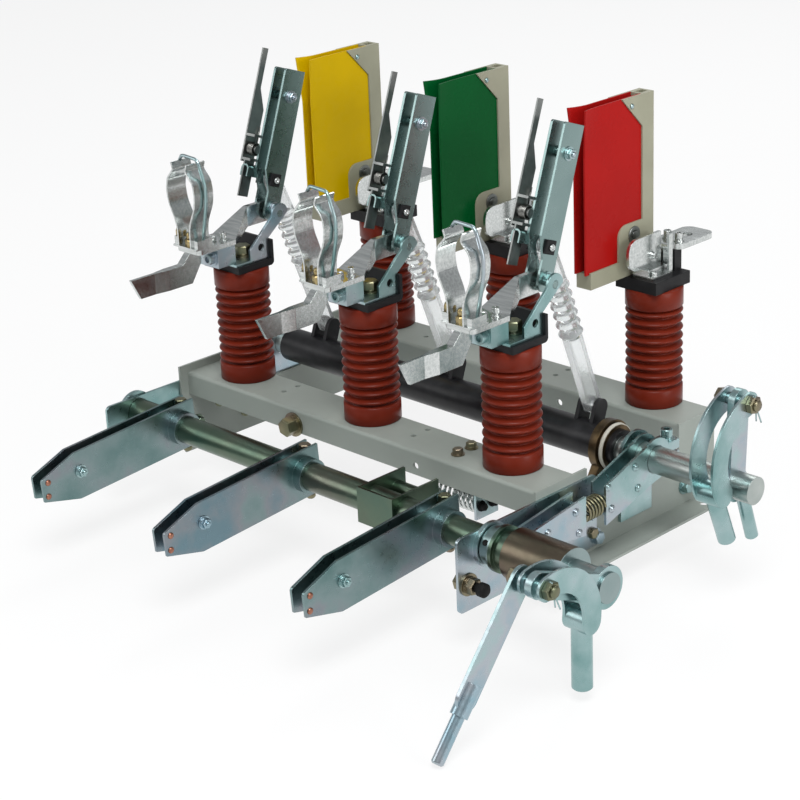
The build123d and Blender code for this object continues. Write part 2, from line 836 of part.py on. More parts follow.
# Levers: two plates welded on the tube at each pole, with the pull rod's pin
lever = strip((main_y, main_z), lever_pin, lever_eye_r, lever_half, lever_half + lever_sheet)
lever += mirror(lever, about=Plane.YZ)
lever += round_x(
    *lever_pin, pull_pin_r, -lever_half - lever_sheet, lever_half + lever_sheet
)
lever -= round_x(main_y, main_z, main_tube_r, -pole_pitch / 2, pole_pitch / 2)
pieces["main_shaft_levers"] = at_poles(lever)

# Rear contact bases: a moulded seat with a block under the terminal
seat_z = top_z + base_thick
seat_front = rear_row_y - base_half_depth
seat_back = rear_row_y + base_half_depth
seat = slab(-base_left, base_right, seat_front, seat_back, top_z, seat_z)
rear_bar_z = top_z + rear_terminal_up
chute_top = top_z + flap_top
seat += slab(
    -base_block_half, base_block_half, seat_back - base_block_depth, seat_back, seat_z, rear_bar_z
)
pieces["rear_contact_bases"] = at_poles(seat)

# Rear contacts: a tongue between the closed blade's bars, on a foot
tongue_front = rear_row_y - contact_front
foot_front = rear_row_y - contact_foot_front
foot_back = rear_row_y + contact_foot_back
tongue_z = top_z + contact_top
tongue = slab(
    -contact_half, contact_half, tongue_front, foot_back, seat_z + contact_foot_thick, tongue_z
)
tongue = fillet(tongue.edges().filter_by(Axis.X).group_by(Axis.Y)[0], contact_round_r)
tongue += slab(
    -contact_foot_half,
    contact_foot_half,
    foot_front,
    foot_back,
    seat_z,
    seat_z + contact_foot_thick,
)
guard_out = contact_guard_in + contact_guard_sheet
guard_top = seat_z + contact_guard_height
guard = slab(contact_guard_in, guard_out, foot_back - contact_guard_front, foot_back, seat_z, guard_top)
guard += slab(contact_foot_half, guard_out, foot_front, foot_back, seat_z, seat_z + contact_guard_sheet)
pieces["rear_contacts"] = at_poles(tongue + guard)

# Rear terminals: a drilled bar that steps down to the contact's foot
bar_back = rear_row_y + rear_terminal_reach
strip_mid = rear_terminal_thick / 2
strip_line = FilletPolyline(
    (foot_back, seat_z + strip_mid),
    (foot_back + rear_terminal_heel, seat_z + strip_mid),
    (foot_back + rear_terminal_heel, rear_bar_z + strip_mid),
    (bar_back, rear_bar_z + strip_mid),
    radius=rear_terminal_bend_r,
)
rear_bar = Pos(-rear_terminal_half, 0, 0) * extrude(
    Plane.YZ * trace(strip_line, rear_terminal_thick), amount=rear_terminal_half + rear_terminal_half
)
neck_y = rear_row_y + rear_terminal_neck
plan = slab(-rear_terminal_half, rear_terminal_half, neck_y, bar_back, 0, chute_top)
plan = fillet(plan.edges().filter_by(Axis.Z), rear_terminal_corner_r)
plan += slab(-contact_foot_half, contact_foot_half, foot_back, neck_y + rear_terminal_corner_r, 0, chute_top)
rear_bar = rear_bar & plan
hole_at = Pos(0, rear_row_y + rear_terminal_hole, rear_bar_z)
rear_bar -= hole_at * Cylinder(rear_terminal_hole_r, rear_terminal_reach)
pieces["rear_terminals"] = at_poles(rear_bar)

# Arc-chute holders: two cheeks and a spine that grip the flaps from behind and below
chute_x = -chute_off
flap_out = chute_gap_half + flap_thick
cheek_out = flap_out + holder_sheet
spine_front = rear_row_y - holder_spine_front
spine_back = rear_row_y + holder_spine_back
holder_z = top_z + holder_bottom
arm_z = holder_z + holder_arm
arm_front = rear_row_y - holder_arm_ahead
cheek_outline = [
    (arm_front, holder_z),
    (spine_back, holder_z),
    (spine_back, chute_top),
    (rear_row_y - holder_gusset_ahead, chute_top),
    (spine_front, chute_top - holder_gusset_drop),
    (spine_front, arm_z),
    (arm_front, arm_z),
]
lobe_y = rear_row_y - holder_lobe_ahead
lobe_z = top_z + holder_lobe_up
cheek = upright(cheek_outline, flap_out, cheek_out)
cheek += round_x(lobe_y, lobe_z, holder_lobe_r, flap_out, cheek_out)
cheek += slab(
    flap_out, cheek_out, lobe_y, spine_front, lobe_z - holder_lobe_r, lobe_z + holder_lobe_r
)
cheek += slab(flap_out, cheek_out, lobe_y - holder_lobe_r, lobe_y, arm_z, lobe_z)
holder = cheek + mirror(cheek, about=Plane.YZ)
holder += slab(-flap_out, flap_out, spine_front, spine_back, holder_z, chute_top)
holder += slab(-flap_out, flap_out, arm_front, spine_front, holder_z, top_z + flap_bottom)
holder -= slab(
    holder_pocket_wall - flap_out,
    flap_out - holder_pocket_wall,
    spine_front + holder_pocket_wall,
    spine_back - holder_pocket_wall,
    chute_top - holder_pocket_depth,
    chute_top,
)
pieces["chute_holders"] = at_poles(Pos(chute_x, 0, 0) * holder)

# Arc-chute flaps: two sheets that flare apart at the top of their front edge
flap_front = rear_row_y - flap_front_ahead
flap_z = top_z + flap_bottom


def flap_section(z, flare):
    """A flap's outline at a height, its front edge curled out by the flare."""
    curl_y = flap_front + flap_flare_depth
    near = chute_gap_half
    far = near + flap_thick
    edge = [
        Line((near, curl_y), (near, spine_front)),
        Line((near, spine_front), (far, spine_front)),
        Line((far, spine_front), (far, curl_y)),
        Bezier((far, curl_y), (far, (curl_y + flap_front) / 2), (far + flare, flap_front)),
        Line((far + flare, flap_front), (near + flare, flap_front)),
        Bezier((near + flare, flap_front), (near, (curl_y + flap_front) / 2), (near, curl_y)),
    ]
    return Pos(0, 0, z) * make_face(edge)


def flap(flare):
    """One flap of a chute on its +X side, straight below and curled out at the top."""
    flare_z = chute_top - flap_flare_depth - flap_flare_depth
    lower = extrude(flap_section(flap_z, 0), amount=flare_z - flap_z)
    return lower + loft([flap_section(flare_z, 0), flap_section(chute_top, flare)])


flaps = flap(flap_flare_in) + mirror(flap(flap_flare_out), about=Plane.YZ)
for name, x in zip(("left_chute_flaps", "middle_chute_flaps", "right_chute_flaps"), pole_xs):
    pieces[name] = Pos(x + chute_x, 0, 0) * flaps

# Earthing shaft: a tube in the bearing plates with a sleeve at its driven end
earth_shaft = round_x(earth_y, earth_z, earth_tube_r, -earth_tube_left, earth_tube_right)
earth_shaft += round_x(earth_y, earth_z, earth_sleeve_r, earth_sleeve_from, earth_sleeve_to)
collar_x = outer_x + sheet + earth_bearing_boss + earth_collar_gap
ring_x = collar_x + earth_collar_width
earth_shaft += round_x(earth_y, earth_z, earth_collar_r, collar_x, ring_x)
earth_shaft += round_x(earth_y, earth_z, earth_ring_r, ring_x, ring_x + earth_ring_width)
earth_shaft += round_x(earth_y, earth_z, earth_collar_r, ring_x + earth_ring_width, earth_sleeve_from)
pieces["earthing_shaft"] = earth_shaft


def earth_point(u, v):
    """A point of an open earthing blade: u forward from the shaft, v up across it."""
    a = radians(earth_blade_tilt)
    return earth_y - u * cos(a) - v * sin(a), earth_z - u * sin(a) + v * cos(a)


# Earthing blades: two plates clamped on the shaft, tapered to the tip
earth_outline = [
    earth_point(-earth_blade_tail, -earth_blade_half / 2),
    earth_point(-earth_blade_tail / 2, -earth_blade_half),
    earth_point(earth_blade_shoulder, -earth_blade_half),
    earth_point(earth_blade_reach, -earth_blade_tip_half),
    earth_point(earth_blade_reach, earth_blade_tip_half),
    earth_point(earth_blade_shoulder, earth_blade_half),
    earth_point(-earth_blade_tail, earth_blade_half),
]
earth_out = earth_blade_gap_half + earth_blade_sheet
near_plate = upright(earth_outline, earth_blade_gap_half, earth_out)
near_plate = fillet(near_plate.edges().filter_by(Axis.X).group_by(Axis.Y)[0], earth_tip_r)
earth_blade = near_plate + mirror(near_plate, about=Plane.YZ)
earth_blade += round_x(
    *earth_point(-earth_bolt_back, earth_bolt_up), earth_bolt_r, -earth_out, earth_out
)
earth_blade += round_x(earth_y, earth_z, earth_hub_r, -earth_out, earth_out + earth_hub_width)
earth_blade -= round_x(earth_y, earth_z, earth_tube_r, -pole_pitch, pole_pitch)
for name, x in zip(
    ("left_earthing_blade", "middle_earthing_blade", "right_earthing_blade"), pole_xs
):
    pieces[name] = Pos(x, 0, 0) * earth_blade

# Spring lever: a fork on the earthing shaft beside the right blade
fork = slab(
    spring_lever_x - spring_lever_half,
    spring_lever_x + spring_lever_half,
    earth_y - earth_hub_r,
    earth_y + spring_lever_reach,
    earth_z - spring_lever_height / 2,
    earth_z + spring_lever_height / 2,
)
fork -= slab(
    spring_lever_x - spring_lever_half + sheet,
    spring_lever_x + spring_lever_half - sheet,
    earth_y - earth_hub_r + sheet,
    earth_y + spring_lever_reach,
    earth_z - spring_lever_height,
    earth_z + spring_lever_height,
)
fork -= round_x(earth_y, earth_z, earth_tube_r, 0, earth_tube_right)
fork += round_x(
    earth_y + spring_lever_reach - spring_bush_in,
    earth_z,
    spring_bush_r,
    spring_lever_x - spring_lever_half,
    spring_lever_x + spring_lever_half,
)
pieces["spring_lever"] = fork

# Rear crank: an arm on the main stub with its pin, and a stub rod below
rear_pin = turn(main_y, main_z, rear_crank_r, rear_crank_angle)
rear_mid = (rear_link_near + rear_link_far + link_sheet) / 2
arm_from = rear_mid - crank_sheet / 2
arm_to = rear_mid + crank_sheet / 2
crank = strip((main_y, main_z), rear_pin, crank_eye_r, arm_from, arm_to)
crank += round_x(main_y, main_z, rear_crank_hub_r, arm_from, arm_to)
crank += round_x(
    *rear_pin, crank_pin_r, rear_link_far - pin_overhang, rear_link_near + link_sheet + pin_overhang
)
stub_x = arm_to + rear_stub_r / 2
stub_from = turn(main_y, main_z, rear_stub_in, rear_stub_angle)
stub_to = turn(main_y, main_z, rear_stub_in + rear_stub_length, rear_stub_angle)
crank += rod_end_bar((stub_x, *stub_from), (stub_x, *stub_to), rear_stub_r)
crank -= round_x(main_y, main_z, main_stub_r, 0, main_stub_right + rear_stub_r)
pieces["rear_crank"] = crank

# Rear link: two curved plates on the crank pin that carry a rod past the stub shaft
rear_bow_at = turn(*rear_pin, rear_link_r, rear_link_from_angle - 180)
rear_end_angle = rear_link_from_angle + rear_link_bow_angle
rear_link = Part()
for x in (rear_link_far, rear_link_near):
    rear_link += bow(
        *rear_bow_at, rear_link_r, link_width, rear_link_from_angle, rear_end_angle, x, x + link_sheet
    )
rear_end = turn(*rear_bow_at, rear_link_r, rear_end_angle)
rod_end = turn(*rear_end, rear_rod_length, rear_rod_angle)
rear_link += rod_end_bar((rear_mid, *rear_end), (rear_mid, *rod_end), rear_rod_r)
rear_link += round_x(*rear_end, link_width / 2, rear_link_far, rear_link_near + link_sheet)
rear_link -= round_x(*rear_pin, crank_pin_r + running_gap, 0, main_stub_right + pin_overhang)
pieces["rear_link"] = rear_link

# Front crank: an arm on the end of the earthing shaft with its pin
front_pin = turn(earth_y, earth_z, front_crank_r, front_crank_angle)
front_mid = (front_link_near + front_link_far + link_sheet) / 2
arm_from = front_mid - crank_sheet / 2
arm_to = front_mid + crank_sheet / 2
crank = strip((earth_y, earth_z), front_pin, crank_eye_r, arm_from, arm_to)
crank += round_x(earth_y, earth_z, front_crank_hub_r, arm_from, arm_to)
crank += round_x(
    *front_pin, crank_pin_r, flat_link_x - pin_overhang, front_link_near + link_sheet + pin_overhang
)
crank -= round_x(earth_y, earth_z, earth_tube_r, 0, earth_tube_right)
pieces["front_crank"] = crank

# Front link: two curved plates on the crank pin that carry a hanging rod
front_bow_at = turn(*front_pin, front_link_r, front_link_from_angle - 180)
front_end_angle = front_link_from_angle - front_link_bow_angle
front_link = Part()
for x in (front_link_far, front_link_near):
    front_link += bow(
        *front_bow_at, front_link_r, link_width, front_end_angle, front_link_from_angle, x, x + link_sheet
    )
front_end = turn(*front_bow_at, front_link_r, front_end_angle)
rod_end = turn(*front_end, front_rod_length, front_rod_angle)
front_link += rod_end_bar((front_mid, *front_end), (front_mid, *rod_end), front_rod_r)
front_link += round_x(*front_end, link_width / 2, front_link_far, front_link_near + link_sheet)
front_link -= round_x(*front_pin, crank_pin_r + running_gap, 0, front_link_near + front_crank_hub_r)
pieces["front_link"] = front_link

# Flat link: a bar on the front crank pin with a threaded stud at its far end
flat_end = turn(*front_pin, flat_link_length, flat_link_angle)
stud_end = turn(*flat_end, flat_link_stud, flat_link_angle)
flat_to = flat_link_x + flat_link_sheet
flat = strip(front_pin, flat_end, flat_link_half, flat_link_x, flat_to)
stud_x = flat_link_x + flat_link_sheet / 2
flat += rod_end_bar((stud_x, *flat_end), (stud_x, *stud_end), flat_link_stud_r)
sleeve_from = turn(*flat_end, flat_link_half, flat_link_angle + 180)
sleeve_to = turn(*sleeve_from, flat_link_sleeve, flat_link_angle)
flat += bar((stud_x, *sleeve_from), (stud_x, *sleeve_to), flat_link_sleeve_r)
flat -= round_x(*front_pin, crank_pin_r + running_gap, 0, main_stub_right)
pieces["front_flat_link"] = flat

# Interlock yokes: plate pairs that stand off the right end plate, with a spring between them
yoke_mid_z = beam_top_z - yoke_mid_below
half = yoke_height / 2
near_to = yoke_near + sheet
rear_yoke_y = front_row_y + rear_yoke_front
front_yoke_y = front_row_y - front_yoke_front
front_yoke_end = front_row_y + front_yoke_back
rear_outline = [
    (rear_yoke_y, yoke_mid_z - half),
    (main_y, main_z - rear_yoke_strap_r),
    (main_y, main_z + rear_yoke_strap_r),
    (rear_yoke_y, yoke_mid_z + half),
]
front_outline = [
    (front_yoke_y, yoke_mid_z - half / 2),
    (front_yoke_end, yoke_mid_z - half),
    (front_yoke_end, yoke_mid_z + half),
    (front_yoke_y, yoke_mid_z + half / 2),
]
rear_yoke = Part()
front_yoke = Part()
for x in (yoke_far, yoke_near):
    rear_yoke += upright(rear_outline, x, x + sheet)
    rear_yoke += round_x(main_y, main_z, rear_yoke_strap_r, x, x + sheet)
    front_yoke += upright(front_outline, x, x + sheet)
rear_yoke += slab(
    yoke_far, near_to, rear_yoke_y, rear_yoke_y + yoke_web, yoke_mid_z - half / 2, yoke_mid_z + half / 2
)
front_yoke += slab(
    yoke_far,
    near_to,
    front_yoke_end - yoke_web,
    front_yoke_end,
    yoke_mid_z - half / 2,
    yoke_mid_z + half / 2,
)
stay_z = yoke_mid_z - half / 2
front_stay_y = front_yoke_end - half
rear_yoke += round_x(
    main_y - rear_stay_ahead, main_z - rear_stay_below, yoke_stay_r, bearing_x, near_to
)
front_yoke += round_x(front_stay_y, stay_z, yoke_stay_r, outer_x + sheet, near_to)
ear_y = main_y + rear_yoke_strap_r - sheet
ear_half = rear_yoke_ear_height / 2
split_half = rear_yoke_split / 2
rear_yoke += slab(yoke_far, near_to, ear_y, ear_y + rear_yoke_ear, main_z - ear_half, main_z + ear_half)
rear_yoke -= slab(
    yoke_far - cut_over,
    near_to + cut_over,
    main_y + main_stub_r,
    ear_y + rear_yoke_ear + cut_over,
    main_z - split_half,
    main_z + split_half,
)
rear_yoke -= round_x(main_y, main_z, main_stub_r + running_gap, 0, main_stub_right)
pieces["rear_yoke"] = rear_yoke
pieces["front_yoke"] = front_yoke
spring_x = (yoke_far + near_to) / 2
spring = coil(
    interlock_spring_r, interlock_wire_r, rear_yoke_y - front_yoke_end, interlock_turns
)
pieces["interlock_spring"] = Pos(spring_x, rear_yoke_y, yoke_mid_z) * Rot(90, 0, 0) * spring

# Return spring and its hanger under the front beam
hanger_top = beam_top_z - sheet
hanger_bottom = beam_top_z - beam_height - hanger_drop
hanger_y = frame_front_y + sheet
pieces["spring_hanger"] = slab(
    hanger_x - sheet,
    hanger_x,
    hanger_y,
    hanger_y + hanger_width,
    hanger_bottom,
    hanger_top,
)
spring_z = beam_top_z - beam_height - return_spring_r - return_wire_r
spring = coil(return_spring_r, return_wire_r, return_spring_length, return_turns)
spring_at = Pos(hanger_x - sheet, hanger_y + hanger_width / 2, spring_z)
pieces["return_spring"] = spring_at * Rot(0, -90, 0) * spring

os.makedirs("parts", exist_ok=True)
for name, piece in pieces.items():
    export_step(piece, f"parts/{name}.step")
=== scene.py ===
"""Looks of an indoor three-pole switch-disconnector with earthing switch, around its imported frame."""

import math

import bmesh
import bpy
from mathutils import Matrix, Vector


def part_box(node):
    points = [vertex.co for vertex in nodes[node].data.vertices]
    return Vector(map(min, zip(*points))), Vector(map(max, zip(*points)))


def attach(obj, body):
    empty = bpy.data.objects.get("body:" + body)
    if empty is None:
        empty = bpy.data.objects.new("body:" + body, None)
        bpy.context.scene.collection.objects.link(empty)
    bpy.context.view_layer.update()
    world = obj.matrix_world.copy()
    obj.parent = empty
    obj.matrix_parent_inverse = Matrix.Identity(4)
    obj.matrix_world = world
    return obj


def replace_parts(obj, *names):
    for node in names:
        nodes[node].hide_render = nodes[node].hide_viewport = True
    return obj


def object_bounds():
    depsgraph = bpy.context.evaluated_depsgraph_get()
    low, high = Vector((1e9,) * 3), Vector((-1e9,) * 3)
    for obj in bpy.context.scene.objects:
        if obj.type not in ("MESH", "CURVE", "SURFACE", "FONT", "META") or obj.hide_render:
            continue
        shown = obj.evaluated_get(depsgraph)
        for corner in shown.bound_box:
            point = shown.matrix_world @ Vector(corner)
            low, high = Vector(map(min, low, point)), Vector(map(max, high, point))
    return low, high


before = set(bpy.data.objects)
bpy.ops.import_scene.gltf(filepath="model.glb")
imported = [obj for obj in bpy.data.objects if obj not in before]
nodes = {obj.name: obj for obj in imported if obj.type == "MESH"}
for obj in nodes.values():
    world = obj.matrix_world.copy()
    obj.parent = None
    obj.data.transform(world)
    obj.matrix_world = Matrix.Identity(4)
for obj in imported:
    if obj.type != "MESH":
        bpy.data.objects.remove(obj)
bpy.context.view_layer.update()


# Frame: two channel beams between two end plates, folded from 3 mm sheet steel.
# It is sprayed with a light grey powder coat that flows into a fine orange peel.
class Flow:
    """One socket of a material's node tree. Sums and products of flows add Math nodes."""

    def __init__(self, tree, socket):
        self.tree = tree
        self.socket = socket

    def node(self, kind, settings, values, give=0):
        """Adds a node with its settings, then its socket values or links, and gives one output."""
        made = self.tree.nodes.new(kind)
        for key, value in settings.items():
            if key == "stops":
                elements = made.color_ramp.elements
                while len(elements) < len(value):
                    elements.new(1)
                for element, (place, colour) in zip(elements, value):
                    element.position = place
                    element.color = (*colour, 1)
            else:
                setattr(made, key, value)
        for key, value in values.items():
            if isinstance(value, Flow):
                self.tree.links.new(value.socket, made.inputs[key])
            else:
                made.inputs[key].default_value = value
        return Flow(self.tree, made.outputs[give])

    def maths(self, operation, first, second):
        return self.node("ShaderNodeMath", {"operation": operation}, {0: first, 1: second})

    def __add__(self, other):
        return self.maths("ADD", self, other)

    def __radd__(self, other):
        return self.maths("ADD", other, self)

    def __sub__(self, other):
        return self.maths("SUBTRACT", self, other)

    def __rsub__(self, other):
        return self.maths("SUBTRACT", other, self)

    def __mul__(self, other):
        return self.maths("MULTIPLY", self, other)

    def __rmul__(self, other):
        return self.maths("MULTIPLY", other, self)

    def __gt__(self, other):
        return self.maths("GREATER_THAN", self, other)

    def noise(self, scale, detail=3.0, rough=0.5):
        return self.node(
            "ShaderNodeTexNoise", {}, {"Vector": self, "Scale": scale, "Detail": detail, "Roughness": rough}
        )

    def ramp(self, stops):
        return self.node("ShaderNodeValToRGB", {"stops": stops}, {0: self})

    def stretch(self, x, y, z):
        return self.node("ShaderNodeMapping", {}, {"Vector": self, "Scale": (x, y, z)})

    def along(self, axis):
        """One coordinate of this place: 0, 1 or 2."""
        return self.node("ShaderNodeSeparateXYZ", {}, {0: self}, axis)

    def mix(self, first, second):
        """Mixes two colours by this flow."""
        return self.node("ShaderNodeMix", {"data_type": "RGBA"}, {0: self, 6: first, 7: second}, 2)

    def bump(self, depth, strength=1.0, edge=0.0006):
        """A normal with this flow as its height, over edges rounded by a small bevel."""
        rounded = self.node("ShaderNodeBevel", {"samples": 4}, {"Radius": edge})
        return self.node(
            "ShaderNodeBump", {}, {"Strength": strength, "Distance": depth, "Height": self, "Normal": rounded}
        )


def new_finish(name, **constants):
    """A material with constants on its shader, and the flow of its object coordinates."""
    material = bpy.data.materials.new(name)
    material.use_nodes = True
    tree = material.node_tree
    shader = tree.nodes["Principled BSDF"]
    for key, value in constants.items():
        shader.inputs[key.replace("_", " ")].default_value = value
    place = tree.nodes.new("ShaderNodeTexCoord")
    return material, Flow(tree, place.outputs["Object"])


def feed(material, **flows):
    """Links flows to the sockets of a material's shader."""
    tree = material.node_tree
    shader = tree.nodes["Principled BSDF"]
    for key, flow in flows.items():
        tree.links.new(flow.socket, shader.inputs[key.replace("_", " ")])


def dress(material, *names):
    """Gives CAD nodes a material."""
    for name in names:
        nodes[name].data.materials.clear()
        nodes[name].data.materials.append(material)


paint, place = new_finish("grey_powder_coat", Specular_IOR_Level=0.3)
cloud = place.noise(7, 4)
feed(
    paint,
    Base_Color=cloud.ramp([(0.3, (0.265, 0.295, 0.268)), (0.7, (0.315, 0.345, 0.315))]),
    Roughness=0.36 + place.noise(60) * 0.16,
    Normal=place.noise(900, 2).bump(0.00012, 0.35),
)
dress(paint, "front_beam", "rear_beam", "left_end_plate", "right_end_plate")

# Frame bolts: hex bolts on flat and spring washers in the front beam.
# They are forged steel, yellow passivated, and the larger one takes the earth wire.
# A head's size is its width across flats, then its height.
mm = 0.001


def spot(x, y, z):
    """A point given in millimetres."""
    return Vector((x, y, z)) * mm


def turned(form, profile, base, axis, steps=24, smooth=True):
    """Adds a turned form: (radius, height) pairs in millimetres, swept round an axis from a base point."""
    up = Vector(axis).normalized()
    side = up.orthogonal().normalized()
    across = up.cross(side)
    rings = []
    for radius, height in profile:
        centre = base + up * height * mm
        count = steps if radius > 0 else 1
        ring = []
        for n in range(count):
            angle = 2 * math.pi * n / steps
            out = side * math.cos(angle) + across * math.sin(angle)
            ring.append(form.verts.new(centre + out * radius * mm))
        rings.append(ring)
    for low, high in zip(rings, rings[1:]):
        for n in range(steps):
            foot = [low[k % len(low)] for k in (n, n + 1)]
            head = [high[k % len(high)] for k in (n + 1, n)]
            corners = list(dict.fromkeys(foot + head))
            if len(corners) > 2:
                form.faces.new(corners).smooth = smooth


def hex_head(form, base, axis, across, height, washer=True):
    """Adds a chamfered hex head over a flat and a spring washer. Gives the height of its top."""
    foot = 0.0
    radius = across / math.sqrt(3)
    if washer:
        thick = across * 0.11
        for rim in (radius * 1.3, radius * 0.98):
            washer_edge = [(0, foot), (rim, foot), (rim, foot + thick), (0, foot + thick)]
            turned(form, washer_edge, base, axis, 32, False)
            foot += thick
    top = foot + height
    chamfer, crown = height * 0.14, radius * 0.88
    head = [(0, foot), (radius, foot), (radius, top - chamfer), (crown, top), (0, top)]
    turned(form, head, base, axis, 6, False)
    return top


def add_piece(name, form, finish, body):
    """Makes a piece from a filled form, with a finish, riding on a body."""
    mesh = bpy.data.meshes.new(name)
    bmesh.ops.recalc_face_normals(form, faces=form.faces)
    form.to_mesh(mesh)
    form.free()
    mesh.materials.append(finish)
    piece = bpy.data.objects.new(name, mesh)
    bpy.context.scene.collection.objects.link(piece)
    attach(piece, body)
    return piece


gold, place = new_finish("yellow_zinc", Metallic=1.0)
tint = place.noise(11, 2) + place.noise(40, 3) * 0.3 - 0.15
feed(
    gold,
    Base_Color=tint.ramp([
        (0.30, (0.12, 0.16, 0.12)), (0.45, (0.18, 0.18, 0.11)),
        (0.56, (0.24, 0.22, 0.14)), (0.70, (0.20, 0.15, 0.12)),
    ]),
    Roughness=0.22 + place.noise(120, 4) * 0.2,
    Normal=place.noise(420, 3).bump(0.00006, 0.3),
)
bolts = bmesh.new()
beam_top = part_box("front_beam")[1].z / mm
beam_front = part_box("front_beam")[0].y / mm
top_bolt_size, top_bolt_spots = (10, 5), ((146.8, -126.9), (146.0, -105.0))
earth_bolt_size, earth_bolt_x, earth_bolt_z = (19, 12), -88, 81
for x, y in top_bolt_spots:
    hex_head(bolts, spot(x, y, beam_top), (0, 0, 1), *top_bolt_size)
hex_head(bolts, spot(earth_bolt_x, beam_front, earth_bolt_z), (0, -1, 0), *earth_bolt_size)
add_piece("frame_bolts", bolts, gold, "frame")

# Bearing plates: zinc-plated plates bolted on the end plates, one pair for each shaft.
# The clear passivation leaves faint clouds of blue, green and pink on the zinc.
# Rubber bumpers sit on the heads of two bolts in the earthing plates.
zinc_clouds = (
    (0.30, (0.18, 0.33, 0.325)), (0.42, (0.295, 0.44, 0.44)), (0.52, (0.38, 0.505, 0.515)),
    (0.60, (0.43, 0.47, 0.51)), (0.72, (0.28, 0.43, 0.50)),
)


def zinc_finish(name, shade):
    """Clear zinc, with its clouds darkened by a shade."""
    finish, place = new_finish(name, Metallic=1.0)
    tint = place.noise(9, 2) + place.noise(34, 3) * 0.35 - 0.175
    feed(
        finish,
        Base_Color=tint.ramp([(at, [part * shade for part in colour]) for at, colour in zinc_clouds]),
        Roughness=0.20 + place.noise(140, 4) * 0.20,
        Normal=place.noise(420, 3).bump(0.00006, 0.3),
    )
    return finish


zinc = zinc_finish("clear_zinc", 1.0)
dress(zinc, "left_earthing_bearing_plate", "right_earthing_bearing_plate")
dress(zinc, "left_main_bearing", "right_main_bearing")
web_in, web_out, plate_out, bumper_from = 274, 277, 280, 290
web_bolt_spots = ((-57.4, 17.8), (96, 24))
plate_bolt_spots = ((-103.8, 50.3), (-64.7, 25.4), (-140.8, 34.8))
stop_y, stop_z = -256, 38
web_bolt_size, plate_bolt_size, plate_nut_size, stop_bolt_size = (13, 6), (11, 6), (11, 4.5), (16, 8)
web_bolts = bmesh.new()
for y, z in web_bolt_spots:
    for way in (-1, 1):
        hex_head(web_bolts, spot(way * web_out, y, z), (way, 0, 0), *web_bolt_size)
add_piece("web_bolts", web_bolts, zinc, "frame")
plate_bolts = bmesh.new()
for way in (-1, 1):
    for y, z in plate_bolt_spots:
        hex_head(plate_bolts, spot(way * web_in, y, z), (-way, 0, 0), *plate_bolt_size)
        hex_head(plate_bolts, spot(way * plate_out, y, z), (way, 0, 0), *plate_nut_size, False)
for way in (-1, 1):
    hex_head(plate_bolts, spot(way * plate_out, stop_y, stop_z), (way, 0, 0), *stop_bolt_size)
    hex_head(plate_bolts, spot(way * web_out, stop_y, stop_z), (-way, 0, 0), *stop_bolt_size)
add_piece("bearing_plate_bolts", plate_bolts, gold, "frame")
rubber, place = new_finish("black_rubber", Specular_IOR_Level=0.2)
feed(
    rubber,
    Base_Color=place.noise(80).ramp([(0.3, (0.006, 0.006, 0.006)), (0.7, (0.014, 0.014, 0.014))]),
    Roughness=0.6 + place.noise(200) * 0.2,
    Normal=place.noise(900).bump(0.0001, 0.3),
)
bumper = [(0, 0), (5, 0), (5, 6), (7.5, 6.5), (7.5, 13), (5.5, 15), (0, 15)]
bumpers = bmesh.new()
for way in (-1, 1):
    turned(bumpers, bumper, spot(way * bumper_from, stop_y, stop_z), (way, 0, 0))
add_piece("stop_bumpers", bumpers, rubber, "frame")

# Insulators: posts of cast red epoxy resin with rounded sheds between plain collars.
# The casting is semi-gloss, with a fine skin from the mould.
epoxy, place = new_finish("red_epoxy", Specular_IOR_Level=0.16)
feed(
    epoxy,
    Base_Color=place.noise(30, 4).ramp([(0.3, (0.12, 0.0125, 0.005)), (0.7, (0.158, 0.0175, 0.007))]),
    Roughness=0.26 + place.noise(90) * 0.15,
    Normal=place.noise(1200, 2).bump(0.00008, 0.25),
)
post_height, collar_r, collar_height = 136.0, 32.2, 22.0
core_r, shed_r, shed_count, shed_steps = 25.5, 32.0, 9, 12
foot_edge, inner_edge = 1, 1.5
collar = [(0, 0), (collar_r - foot_edge, 0), (collar_r, foot_edge)]
collar += [(collar_r, collar_height - inner_edge), (collar_r - inner_edge, collar_height)]
post = list(collar)
shed_pitch = (post_height - 2 * collar_height) / shed_count
for n in range(shed_count * shed_steps + 1):
    share = n / shed_steps
    swell = (0.5 - 0.5 * math.cos(2 * math.pi * share)) ** 0.8
    post.append((core_r + (shed_r - core_r) * swell, collar_height + share * shed_pitch))
post += [(r, post_height - h) for r, h in reversed(collar)]
pole_xs = (-210.0, 0.0, 210.0)
for row in ("front", "rear"):
    node = row + "_insulators"
    low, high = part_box(node)
    posts = bmesh.new()
    for x in pole_xs:
        turned(posts, post, Vector((x * mm, (low.y + high.y) / 2, low.z)), (0, 0, 1), 72)
    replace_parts(add_piece(row + "_ribbed_posts", posts, epoxy, "frame"), node)

# Black mouldings: pads under the hinge brackets and bases of the rear contacts.
# They are compression moulded, dull, with a fine grain.
moulding, place = new_finish("black_moulding", Specular_IOR_Level=0.22)
feed(
    moulding,
    Base_Color=place.noise(60, 3).ramp([(0.3, (0.006, 0.006, 0.007)), (0.7, (0.013, 0.013, 0.014))]),
    Roughness=0.38 + place.noise(160) * 0.2,
    Normal=place.noise(1500, 2).bump(0.00008, 0.3),
)
dress(moulding, "front_pads", "rear_contact_bases")


